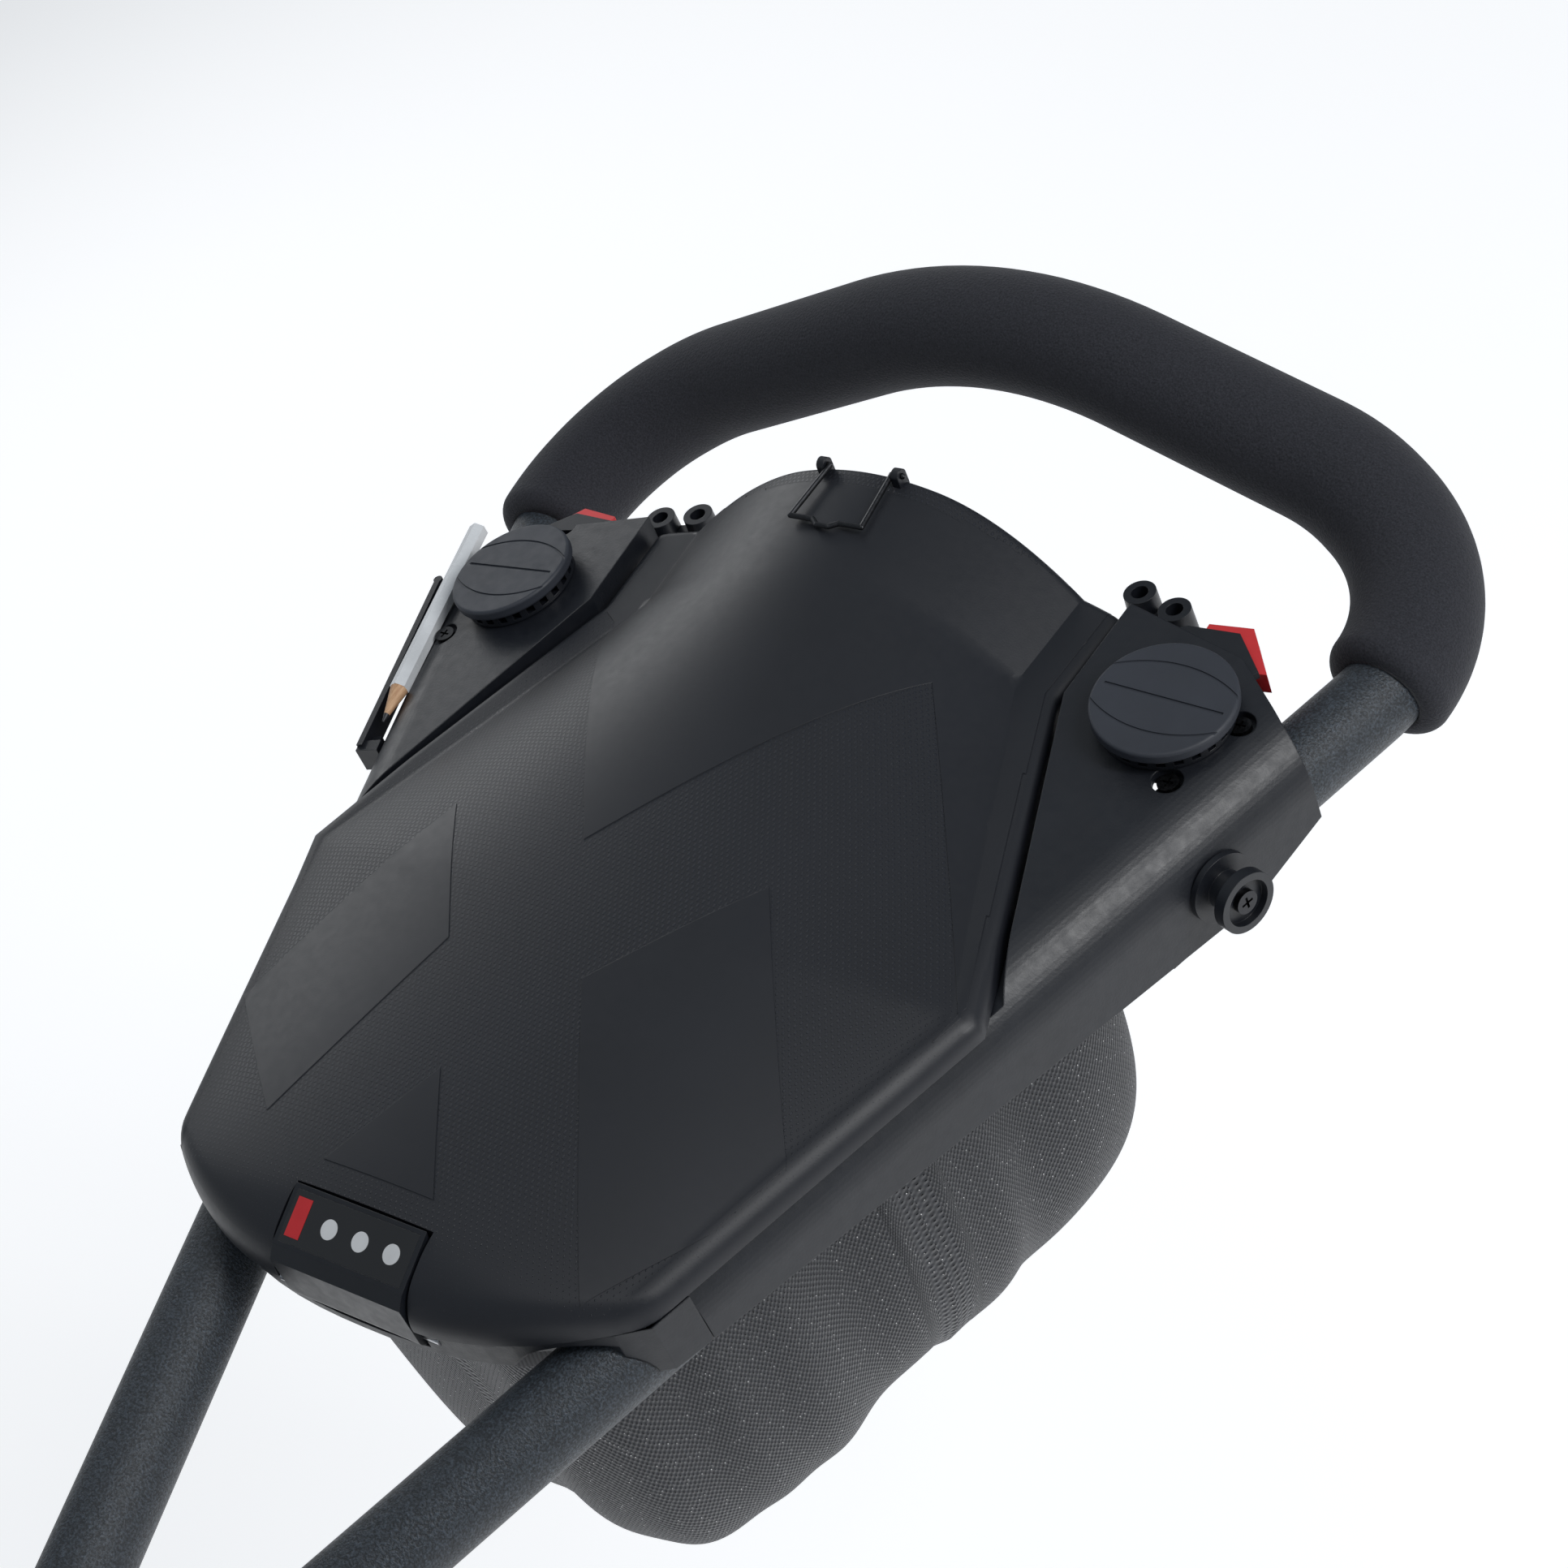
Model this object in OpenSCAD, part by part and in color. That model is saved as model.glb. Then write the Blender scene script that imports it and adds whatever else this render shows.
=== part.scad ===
// Handle and console section of a three-wheel golf push cart.
// Origin: centre of the pivot bore, where the axes of the two frame legs cross.
// +X is the golfer's right, +Y runs from the pivot to the handle, +Z is up from the lid.
// A "leg frame" is turned by splay_angle so that its Y axis runs along the right leg.

/* [Handle tube] */
// Outside diameter of the bent tube
tube_d = 28; // [24:0.5:32]
// Wall of the bent tube
tube_wall = 1.5; // [1:0.1:2.5]
// Angle between each leg and the centre plane
splay_angle = 18.3; // [17:0.1:20]
// Distance along Y from the pivot to the foot of each leg
leg_start = 52; // [50:1:60]
// Distance along Y from the pivot to the outer corners of the handle
handle_reach = 588; // [580:1:720]
// How far each shoulder bend lies inboard of the outer corner
corner_in = 56.4; // [54:0.2:80]
// How far each shoulder bend lies behind the outer corner
corner_back = 31.7; // [28:0.1:45]
// Height of each shoulder bend above the outer corner
corner_rise = 22.2; // [18:0.1:35]
// How far the middle of the handle lies behind the shoulders
crown_back = 15.6; // [8:0.1:25]
// Height of the middle of the handle above the shoulders
crown_rise = 45.5; // [30:0.1:60]
// Bend radius at the outer corners
corner_bend_r = 62; // [50:1:64]
// Bend radius at the shoulders
shoulder_bend_r = 72; // [60:1:74]
// Bend radius at the middle of the handle
crown_bend_r = 173; // [120:1:220]
// Outside diameter of the foam grip
grip_d = 43.4; // [36:0.2:50]
// Angle into the outer bend at which the foam starts
grip_start = 10; // [4:1:30]
// Rounding of the foam's ends
grip_round = 6; // [2:0.5:7]

/* [Apex yoke] */
// Outside diameter of each socket on the yoke
socket_d = 36; // [34:0.5:46]
// Length of each leg held in its socket
socket_depth = 52; // [45:1:80]
// Width of the pivot barrel along X
barrel_w = 60; // [56:1:80]
// Outside diameter of the pivot barrel
barrel_d = 30; // [28:0.5:40]
// Diameter of the pivot bore in the bushes
pivot_d = 10; // [8:0.1:12]
// Wall of each pivot bush
bush_wall = 2; // [1.5:0.1:3]
// Thread diameter of the bolt that holds each leg
leg_bolt_d = 6; // [5:0.5:8]

/* [Console plan] */
// Distance along Y from the pivot to the front of the lid
lid_front = 214; // [210:0.5:225]
// Distance along Y from the pivot to the rear of the lid
lid_rear = 545; // [542:0.5:556]
// How far the front corners of the lid lie behind its nose
front_sweep = 28; // [20:0.5:40]
// How far the rear corners of the lid lie ahead of its tail
rear_sweep = 14; // [8:0.5:20]
// Gap between the lid and each wing
lid_gap = 3.5; // [2.5:0.1:6]
// Distance from the leg axis to the outer face of each wing
side_offset = 18; // [18:0.1:24]
// Distance from the leg axis to the tub of the tray
tub_offset = 17; // [16.5:0.1:22]
// Place along Y of the seam between the front bridge and the wings
seam_y = 256; // [250:0.5:262]

/* [Console heights] */
// Height of the flat part of the lid above the leg axes
flange_z = 31; // [30:0.2:36]
// Height of the lid's centre line at its front
crest_front_z = 41; // [38:0.2:48]
// Height of the lid's centre line at its rear
crest_rear_z = 66.5; // [60:0.2:72]
// Height of the lower rim of the lid
rim_z = 22; // [21.8:0.1:24]
// Thickness of the lid
lid_wall = 2.8; // [2:0.1:3.5]
// Thickness of the wing shells
wing_wall = 3; // [2:0.1:3.4]
// Height of the underside of the tray
tray_floor_z = -4; // [-6:0.5:-2]
// Wall of the tray
tray_wall = 2.5; // [2:0.1:3]
// Radius of the rounded shoulder of each wing
shoulder_r = 22; // [20:0.5:24]
// Slope of the wing tops down to the outside
wing_tilt = 5.64; // [4:0.1:7]

/* [Accessory caps] */
// Diameter of each cap
cap_d = 48; // [40:0.5:50]
// Thickness of each cap's disc
cap_t = 4.5; // [3:0.1:6]
// Number of teeth on each mounting ring
ring_teeth = 24; // [16:1:32]
// Height of the mounting ring above the wing
ring_h = 4.7; // [4:0.1:7]
// Radius of the bore of each mounting ring
ring_bore_r = 15; // [12:0.1:16]

/* [Small parts] */
// Diameter of the tee holes
tee_hole_d = 6; // [5:0.1:6.5]
// Depth of the tee holes
tee_hole_depth = 24; // [18:0.5:28]
// Travel of each release button
button_travel = 3.5; // [2:0.1:4]
// Length of the pencil's barrel
pencil_l = 80; // [70:1:100]
// Width of the hexagonal pencil across its corners
pencil_d = 7.4; // [6.5:0.1:8]
// Diameter of the accessory spool's outer disc
spool_d = 21; // [16:0.5:26]
// Diameter of the wire of the scorecard clip
clip_wire_d = 2; // [1.6:0.1:2.4]
// Diameter of the lid's hinge pin
hinge_pin_d = 3.5; // [2.5:0.1:4]
// Radial clearance between a hinge pin and its knuckles
pin_clearance = 0.05; // [0.02:0.01:0.1]
// Width of the latch tab
latch_w = 54.6; // [46:0.2:58]

/* [Net bag] */
// Depth of the net bag below the tray
bag_depth = 163; // [120:1:190]
// Half width of the net bag at its front
bag_front_w = 62; // [50:1:64]
// Half width of the net bag at its rear
bag_rear_w = 124; // [100:1:126]
// Thickness of the net bag's wall
bag_wall = 2; // [1.5:0.1:3]

/* [Hidden] */
$fn = 48;
far = 400;        // longer than any cut it is used for
press = 0.1;      // interference of a pressed or glued joint
snug = 0.05;      // clearance of a part that sits still in its seat
body_gap = 0.5;   // clearance between parts that move past each other

black = [0.13, 0.14, 0.15];
charcoal = [0.2, 0.21, 0.23];
steel = [0.55, 0.56, 0.58];
red = [0.8, 0.2, 0.2];

tube_r = tube_d / 2;
grip_r = grip_d / 2;

// ---------------------------------------------------------------- handle path
corner = [handle_reach * tan(splay_angle), handle_reach, 0];
shoulder = corner + [-corner_in, corner_back, corner_rise];
crown = [0, shoulder.y + crown_back, shoulder.z + crown_rise];
leg_foot = [leg_start * tan(splay_angle), leg_start, 0];
path = [leg_foot, corner, shoulder, crown, flip(shoulder), flip(corner), flip(leg_foot)];
bend_r = [0, corner_bend_r, shoulder_bend_r, crown_bend_r, shoulder_bend_r, corner_bend_r, 0];
last = len(path) - 1;

function flip(p) = [-p.x, p.y, p.z];
function unit(v) = v / norm(v);
function heading(i) = unit(path[i + 1] - path[i]);
function turn(i) = acos(heading(i - 1) * heading(i));
function tangent(i) = i == 0 || i == last ? 0 : bend_r[i] * tan(turn(i) / 2);
function row(p) = [
    p.x * cos(splay_angle) + p.y * sin(splay_angle),
    p.y * cos(splay_angle) - p.x * sin(splay_angle)
];

// Centre and direction of the path at an angle into bend i
function bend_stop(i, angle) =
    let (
        ahead = heading(i - 1),
        inward = unit(heading(i) - (ahead * heading(i)) * ahead),
        centre = path[i] - ahead * tangent(i) + inward * bend_r[i]
    )
    [centre + bend_r[i] * (ahead * sin(angle) - inward * cos(angle)), ahead * cos(angle) + inward * sin(angle)];

bend_step = 9;    // largest angle between two stops in a bend
pipe_sides = 28;
bow_r = tube_r + 0.05;   // a hair outside the round legs, so the many-sided bow never cuts into them

function bend_stops(i, from, to) =
    let (n = ceil((to - from) / bend_step))
    [for (k = [0 : n]) bend_stop(i, from + (to - from) * k / n)];

// Stops from an angle into the first bend to the same place in the last one
function bow_stops(start) = concat(
    bend_stops(1, start, turn(1)),
    [for (i = [2 : last - 2]) each bend_stops(i, 0, turn(i))],
    bend_stops(last - 1, 0, turn(last - 1) - start));

// The flats of the ring stand at radius r
function pipe_ring(stop, r) =
    let (n = unit(cross(stop[1], [0, 0, 1])), b = cross(n, stop[1]), reach = r / cos(180 / pipe_sides))
    [for (k = [0 : pipe_sides - 1]) stop[0] + reach * (cos(360 * k / pipe_sides) * n + sin(360 * k / pipe_sides) * b)];

// A pipe through the stops, with an outer radius for each stop and one inner radius
module swept_pipe(stops, outer, inner_r) {
    n = pipe_sides;
    m = len(stops);
    skin = concat(
        [for (j = [0 : m - 1]) each pipe_ring(stops[j], outer[j])],
        [for (j = [m - 1 : -1 : 0]) each pipe_ring(stops[j], inner_r)]);
    // the rings of the bore follow those of the outside, so the skin closes on itself
    polyhedron(skin, [for (j = [0 : 2 * m - 1]) for (k = [0 : n - 1])
        let (a = j * n, b = (j + 1) % (2 * m) * n, next = (k + 1) % n)
        each [[a + k, b + next, b + k], [a + k, a + next, b + next]]], convexity = 8);
}

module on_side(side) {
    if (side < 0) mirror([1, 0, 0]) children();
    else children();
}

module on_both_sides() {
    for (side = [-1, 1]) on_side(side) children();
}

module in_leg_frame() {
    rotate([0, 0, -splay_angle]) children();
}

// A solid cylinder lying along the right leg, from y0 to y1 in the leg frame
module along_leg(r, y0, y1) {
    in_leg_frame() translate([0, y0, 0]) rotate([-90, 0, 0]) cylinder(r = r, h = y1 - y0);
}

leg_foot_y = leg_start / cos(splay_angle);
leg_bolt_y = leg_foot_y + socket_depth / 2;

module leg_bolt_axis() {
    in_leg_frame() translate([0, leg_bolt_y, 0]) children();
}

leg_length = norm(path[1] - path[0]) - tangent(1);

module handle_tube() {
    stops = bow_stops(0);
    color(charcoal)
    difference() {
        union() {
            swept_pipe(stops, [for (s = stops) bow_r], bow_r - tube_wall);
            on_both_sides()
                in_leg_frame() translate([0, leg_foot_y, 0]) rotate([-90, 0, 0]) linear_extrude(leg_length)
                    difference() {
                        circle(tube_r);
                        circle(tube_r - tube_wall);
                    }
        }
        on_both_sides()
            leg_bolt_axis() cylinder(d = leg_bolt_d + 0.4, h = 2 * tube_d, center = true);
    }
}

module foam_grip() {
    stops = bow_stops(grip_start);
    m = len(stops);
    round_steps = 4;
    // rounded ends run on straight from the first and last stops
    ends = [for (k = [round_steps : -1 : 1]) 90 * k / round_steps];
    first = [for (a = ends) [stops[0][0] - stops[0][1] * grip_round * sin(a), stops[0][1]]];
    final = [for (a = ends) [stops[m - 1][0] + stops[m - 1][1] * grip_round * sin(a), stops[m - 1][1]]];
    end_r = [for (a = ends) grip_r - grip_round * (1 - cos(a))];
    color(black)
    swept_pipe(
        concat(first, stops, [for (k = [round_steps - 1 : -1 : 0]) final[k]]),
        concat(end_r, [for (s = stops) grip_r], [for (k = [round_steps - 1 : -1 : 0]) end_r[k]]),
        bow_r - press);
}

// ---------------------------------------------------------------- apex yoke
socket_r = socket_d / 2;
bush_r = pivot_d / 2 + bush_wall;
bolt_seat_z = socket_r - 2.5;
bolt_head_h = 4;

module apex_yoke() {
    web_h = 26;
    color(black)
    difference() {
        union() {
            on_both_sides() along_leg(socket_r, leg_foot_y - 12, leg_foot_y + socket_depth);
            translate([-barrel_w / 2 + 1, 0, -web_h / 2]) cube([barrel_w - 2, leg_start + 10, web_h]);
            rotate([0, 90, 0]) cylinder(d = barrel_d, h = barrel_w, center = true);
        }
        on_both_sides() along_leg(tube_r + snug, leg_foot_y, leg_foot_y + far);
        rotate([0, 90, 0]) cylinder(r = bush_r, h = far, center = true);
        on_both_sides() leg_bolt_axis() {
            cylinder(d = leg_bolt_d + 0.4, h = far, center = true);
            for (up = [0, 1]) mirror([0, 0, up]) translate([0, 0, bolt_seat_z]) cylinder(r = leg_bolt_d + 1, h = 20);
        }
    }
}

module pivot_bushes() {
    sleeve_l = barrel_w / 2 - 1;
    flange_t = 2;
    color(steel)
    on_both_sides()
        translate([barrel_w / 2, 0, 0]) rotate([0, 90, 0])
            difference() {
                union() {
                    translate([0, 0, -sleeve_l]) cylinder(r = bush_r, h = sleeve_l + flange_t);
                    cylinder(r = bush_r + 4, h = flange_t);
                }
                cylinder(d = pivot_d, h = far, center = true);
            }
}

module yoke_bolts() {
    color(steel)
    on_both_sides() leg_bolt_axis() {
        translate([0, 0, bolt_seat_z]) cylinder(r = leg_bolt_d * 0.85, h = bolt_head_h);
        translate([0, 0, -bolt_seat_z - 6]) cylinder(d = leg_bolt_d, h = 2 * bolt_seat_z + 6);
    }
}

module yoke_nuts() {
    color(steel)
    on_both_sides() leg_bolt_axis()
        translate([0, 0, -bolt_seat_z - leg_bolt_d * 0.8])
            difference() {
                cylinder(r = leg_bolt_d * 0.9, h = leg_bolt_d * 0.8, $fn = 6);
                cylinder(d = leg_bolt_d, h = far, center = true);
            }
}

// ---------------------------------------------------------------- console plan
// Corners of the lid's right side, in the leg frame, then in the row frame
lid_front_corner = row([side_offset, 261]);
lid_side_corner = row([side_offset + 0.6, 391]);
lid_kink = row([-62, 497]);
lid_rear_corner = row([-72, 535.5]);
crease_in = 17.5;   // width of the flat strip outside the dome, at the kink
edge_r = 9;         // rounding of the lid's front edge and of its sides ahead of the wings
seam_r = 4;         // rounding of its sides beside the wings

function mix(a, b, t) = a + (b - a) * t;
function lid_side(y) =
    y < lid_side_corner.y
        ? mix(lid_front_corner.x, lid_side_corner.x, (y - lid_front_corner.y) / (lid_side_corner.y - lid_front_corner.y))
    : y < lid_kink.y
        ? mix(lid_side_corner.x, lid_kink.x, (y - lid_side_corner.y) / (lid_kink.y - lid_side_corner.y))
    : mix(lid_kink.x, lid_rear_corner.x, (y - lid_kink.y) / (lid_rear_corner.y - lid_kink.y));
// Half width of the dome: the strip beside it narrows to nothing at the side corner
function dome_side(y) =
    y < lid_side_corner.y ? lid_side(y) - edge_r
    : lid_side(y) - mix(edge_r, crease_in, min(1, (y - lid_side_corner.y) / (lid_kink.y - lid_side_corner.y)));

function side_round(y) = mix(edge_r, seam_r, max(0, min(1, (y - lid_side_corner.y + 20) / 60)));

// Rounded join of the lower of two heights
function soft_min(a, b, k) = (a + b - sqrt((a - b) * (a - b) + k * k)) / 2;

// A point of the lid. u runs across from -1 to 1, v from 0 at the front to 1 at the rear.
// inset is the distance inside the outer skin. The sides and the rear of the latch's notch
// stay where they are, whatever the inset, so its walls are upright.
function lid_point(u, v, inset) =
    let (
        y_side = mix(lid_front_corner.y, lid_rear_corner.y, v),
        half = lid_side(y_side),
        dome_edge = dome_side(y_side),
        a = abs(u),
        reach = a <= notch_u ? a / notch_u * notch_half
            : a <= dome_u ? mix(notch_half, dome_edge, (a - notch_u) / (dome_u - notch_u))
            : mix(dome_edge, half, (a - dome_u) / (1 - dome_u)),
        side_gap = a <= dome_u ? half - reach : (half - reach) * (half - inset - dome_edge) / (half - dome_edge),
        x = sign(u) * (a <= dome_u ? reach : half - inset - side_gap),
        bow = pow(max(0, (reach - notch_half) / (half - notch_half)), 1.8),
        y_front = lid_front + inset + front_sweep * bow,
        y_rear = lid_rear - inset - rear_sweep * bow,
        y_notch = mix(y_front - inset, y_rear + inset, notch_v),
        y = v <= notch_v ? mix(y_front, y_notch, v / notch_v) : mix(y_notch, y_rear, (v - notch_v) / (1 - notch_v)),
        crest = mix(crest_front_z, crest_rear_z, (y - lid_front) / (lid_rear - lid_front)),
        d = min(1, reach / dome_edge),
        dome = flange_z + (crest - flange_z) * (1 - d * d),
        nose = flange_z + 1 + 0.55 * (y - y_front),
        top = soft_min(dome, nose, 3) - inset,
        drop = edge_drop(side_gap, side_round(y_side) - inset) + edge_drop(y - y_front, edge_r - inset) + edge_drop(y_rear - y, 3)
    )
    v == 0 || v == 1 || a == 1 ? [x, y, rim_z] : [x, y, max(rim_z, top - drop)];
function edge_drop(gap, r) = gap >= r ? 0 : r - sqrt(r * r - (r - gap) * (r - gap));

latch_gap = 1.2;
notch_half = latch_w / 2 + latch_gap;
notch_depth = 23.2;
notch_rear_y = lid_front + notch_depth;

notch_steps = 4;
dome_steps = 12;
edge_steps = 6;
dome_u = 0.8;
notch_u = dome_u * notch_steps / dome_steps;
notch_v = notch_depth / (lid_rear - lid_front);
row_steps = [5, 6, 11, 9];
// Steps across: even over the dome, closer and closer together towards the edge
lid_u = let (half = concat(
        [for (k = [0 : dome_steps]) dome_u * k / dome_steps],
        [for (k = [1 : edge_steps]) mix(dome_u, 1, sin(90 * k / edge_steps))]))
    concat([for (k = [len(half) - 1 : -1 : 1]) -half[k]], half);
// Steps from front to rear: dense at both ends, with a row behind the notch and at each corner of the outline
corner_v = (lid_side_corner.y - lid_front_corner.y) / (lid_rear_corner.y - lid_front_corner.y);
kink_v = (lid_kink.y - lid_front_corner.y) / (lid_rear_corner.y - lid_front_corner.y);
lid_v = concat(
    [for (k = [0 : row_steps[0]]) notch_v * (1 - cos(90 * k / row_steps[0]))],
    [for (k = [1 : row_steps[1]]) mix(notch_v, corner_v, k / row_steps[1])],
    [for (k = [1 : row_steps[2]]) mix(corner_v, kink_v, k / row_steps[2])],
    [for (k = [1 : row_steps[3]]) mix(kink_v, 1, sin(90 * k / row_steps[3]))]);

module lid() {
    nu = len(lid_u);
    nv = len(lid_v);
    middle = dome_steps + edge_steps;
    left = middle - notch_steps;    // the columns at the notch's sides
    right = middle + notch_steps;
    notch = row_steps[0];           // the row behind the notch
    count = nu * nv;
    outer = [for (v = lid_v) for (u = lid_u) lid_point(u, v, 0)];
    inner = [for (v = lid_v) for (u = lid_u) lid_point(u, v, lid_wall)];
    top_faces = [for (j = [0 : nv - 2]) for (i = [0 : nu - 2])
        if (j >= notch || i < left || i >= right)
            let (a = j * nu + i) each [[a, a + 1, a + nu], [a + 1, a + nu + 1, a + nu]]];
    low_faces = [for (f = top_faces) [count + f[0], count + f[2], count + f[1]]];
    edge_loop = concat(
        [for (i = [0 : left]) i],
        [for (j = [1 : notch]) j * nu + left],
        [for (i = [left + 1 : right]) notch * nu + i],
        [for (j = [notch - 1 : -1 : 0]) j * nu + right],
        [for (i = [right + 1 : nu - 1]) i],
        [for (j = [1 : nv - 1]) j * nu + nu - 1],
        [for (i = [nu - 2 : -1 : 0]) (nv - 1) * nu + i],
        [for (j = [nv - 2 : -1 : 1]) j * nu]);
    n = len(edge_loop);
    rim_faces = [for (k = [0 : n - 1]) let (a = edge_loop[k], b = edge_loop[(k + 1) % n])
        each [[a, count + b, b], [a, count + a, count + b]]];
    color(black)
    polyhedron(concat(outer, inner), concat(top_faces, low_faces, rim_faces), convexity = 6);
}

// ---------------------------------------------------------------- lid hinge
hinge_y = lid_rear - 10.5;
hinge_z = 26;
pin_r = hinge_pin_d / 2;
knuckle_r = 3.8;
tray_knuckle_x = 34;
knuckle_w = 8;
leaf_knuckle_x = tray_knuckle_x + knuckle_w + 1;

module hinge_bar(r, x0, x1) {
    translate([x0, hinge_y, hinge_z]) rotate([0, 90, 0]) cylinder(r = r, h = x1 - x0);
}

module lid_hinge_leaf() {
    skirt_y = lid_rear - rear_sweep * pow((leaf_knuckle_x + knuckle_w / 2) / lid_side(lid_rear_corner.y), 2.5) - lid_wall;
    color(black)
    difference() {
        on_both_sides() {
            hinge_bar(knuckle_r, leaf_knuckle_x, leaf_knuckle_x + knuckle_w);
            translate([leaf_knuckle_x, hinge_y, hinge_z]) cube([knuckle_w, skirt_y + 1.4 - hinge_y, 18]);
        }
        on_both_sides() hinge_bar(pin_r + pin_clearance, leaf_knuckle_x - 1, leaf_knuckle_x + knuckle_w + 1);
    }
}

module lid_hinge_pins() {
    color(steel)
    on_both_sides() hinge_bar(pin_r, tray_knuckle_x, leaf_knuckle_x + knuckle_w);
}

module lid_catch() {
    catch_w = latch_w - 8;
    color(black)
    translate([-catch_w / 2, 0, 0]) {
        translate([0, notch_rear_y - 7.5, 32.6]) cube([catch_w, 10.5, 2.4]);
        translate([0, notch_rear_y + 0.8, 32.6]) cube([catch_w, 2.2, 7.4]);
    }
}

// ---------------------------------------------------------------- scorecard clip
clip_r = clip_wire_d / 2;
clip_hinge = [13, lid_rear - 2.5, crest_rear_z + 1.6];
clip_free = [15, lid_rear - 27, crest_rear_z - 0.3];
hook_r = clip_r + 1.6;

clip_sides = 12;

module rod(a, b, r) {
    d = unit(b - a);
    translate(a) rotate([0, acos(d.z), atan2(d.y, d.x)]) cylinder(r = r, h = norm(b - a), $fn = clip_sides);
    for (p = [a, b]) translate(p) sphere(r * 1.04, $fn = clip_sides);
}

module clip_hooks() {
    hook_w = 3;
    color(black)
    on_both_sides()
        difference() {
            translate([clip_hinge.x + 1.2, clip_hinge.y, clip_hinge.z]) {
                rotate([0, 90, 0]) cylinder(r = hook_r, h = hook_w);
                translate([0, -hook_r, -5]) cube([hook_w, 2 * hook_r, 5]);
            }
            translate([0, clip_hinge.y, clip_hinge.z])
                rotate([0, 90, 0]) cylinder(r = clip_r + pin_clearance, h = far, center = true);
        }
}

module scorecard_clip() {
    step = [3, -2.2, 0];
    color(steel) {
        on_both_sides() {
            rod(clip_hinge, clip_hinge + [4.6, 0, 0], clip_r);
            rod(clip_hinge, clip_free, clip_r);
            rod(clip_free, [5.5, clip_free.y, clip_free.z], clip_r);
        }
        rod([-5.5, clip_free.y, clip_free.z], [-5.5, clip_free.y, clip_free.z] + step, clip_r);
        rod([5.5, clip_free.y, clip_free.z], [5.5, clip_free.y, clip_free.z] + [-step.x, step.y, 0], clip_r);
        rod([-2.5, clip_free.y + step.y, clip_free.z], [2.5, clip_free.y + step.y, clip_free.z], clip_r);
    }
}

// ---------------------------------------------------------------- latch
latch_y = lid_front + 3.4;
latch_z = 15.5;
latch_pin_r = 1.5;
latch_knuckle_r = 3.4;
latch_top = [lid_front + 22, crest_front_z + 1.4];
latch_brow = [lid_front + 4, flange_z + 3.6];
tab_t = 3;
spring_w = 10;
spring_wire_r = 0.4;
latch_spring_r = latch_pin_r + 0.1 + 2 * spring_wire_r;

module latch_bar(r, x0, x1) {
    translate([x0, latch_y, latch_z]) rotate([0, 90, 0]) cylinder(r = r, h = x1 - x0);
}

// Extrudes a profile drawn in Y and Z along X, centred
module across(width) {
    translate([-width / 2, 0, 0]) rotate([90, 0, 90]) linear_extrude(width) children();
}

module latch_tab() {
    front = latch_y - latch_knuckle_r;
    color(black)
    difference() {
        union() {
            across(latch_w) polygon([
                latch_top, latch_brow, [front + 0.4, flange_z], [front, latch_z],
                [front + tab_t, latch_z], [front + tab_t + 0.4, flange_z - 1.5],
                [latch_brow.x + 2.2, latch_brow.y - 2.4], [latch_top.x - 0.8, latch_top.y - 3.4]
            ]);
            latch_bar(latch_knuckle_r, -latch_w / 2, latch_w / 2);
        }
        latch_bar(latch_pin_r + pin_clearance, -latch_w, latch_w);
        latch_bar(latch_spring_r + 0.3, -spring_w / 2 - 0.5, spring_w / 2 + 0.5);
        translate([-spring_w / 2 - 0.5, latch_y - 1, latch_z - 8]) cube([spring_w + 1, 12, 12]);
        badge_seat(0);
    }
}

badge_w = latch_w - 3.5;
badge_t = 0.8;
badge_angle = atan2(latch_top.y - latch_brow.y, latch_top.x - latch_brow.x);
badge_l = norm(latch_top - latch_brow) - 3;

// Places its children on the sloping face of the tab: Y runs up the slope, Z out of the face
module on_badge() {
    translate([0, latch_brow.x, latch_brow.y]) rotate([badge_angle, 0, 0]) translate([0, 1.5, 0]) children();
}

module badge_seat(clear) {
    on_badge() translate([-badge_w / 2 + clear, clear, -badge_t]) cube([badge_w - 2 * clear, badge_l - 2 * clear, badge_t + 1]);
}

stripe_w = 6;
stripe_x = -badge_w / 2 + 1.5;
badge_dot_r = 3.2;

module badge_plate() {
    color(black)
    on_badge()
        difference() {
            translate([-badge_w / 2 + snug, snug, -badge_t]) cube([badge_w - 2 * snug, badge_l - 2 * snug, badge_t]);
            translate([stripe_x, 2, -badge_t / 2]) cube([stripe_w, badge_l - 4, badge_t]);
            badge_dot_places() cylinder(r = badge_dot_r, h = badge_t);
        }
}

module badge_stripe() {
    color(red)
    on_badge() translate([stripe_x + snug, 2 + snug, -badge_t / 2]) cube([stripe_w - 2 * snug, badge_l - 4 - 2 * snug, badge_t / 2 + 0.15]);
}

module badge_dot_places() {
    for (k = [0 : 2]) translate([-8 + 13 * k, badge_l / 2, -badge_t / 2]) children();
}

module badge_dots() {
    color("gainsboro")
    on_badge() badge_dot_places() cylinder(r = badge_dot_r - snug, h = badge_t / 2 + 0.15);
}

module latch_pin() {
    reach = latch_w / 2 + latch_gap + 5;
    color(steel) latch_bar(latch_pin_r, -reach, reach);
}

module latch_spring() {
    turns = 11;
    color(steel)
    for (k = [0 : turns - 1])
        translate([(k - (turns - 1) / 2) * 2 * spring_wire_r, latch_y, latch_z]) rotate([0, 90, 0])
            rotate_extrude() translate([latch_spring_r - spring_wire_r, 0]) circle(spring_wire_r * 1.02, $fn = 16);
}

// ---------------------------------------------------------------- tray
tub_top_z = rim_z - body_gap;
tub_rear_y = hinge_y - knuckle_r - 1;
flange_under_z = 15;
ledge_under_z = 17.6;
ledge_top_z = tub_top_z - body_gap;

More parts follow.
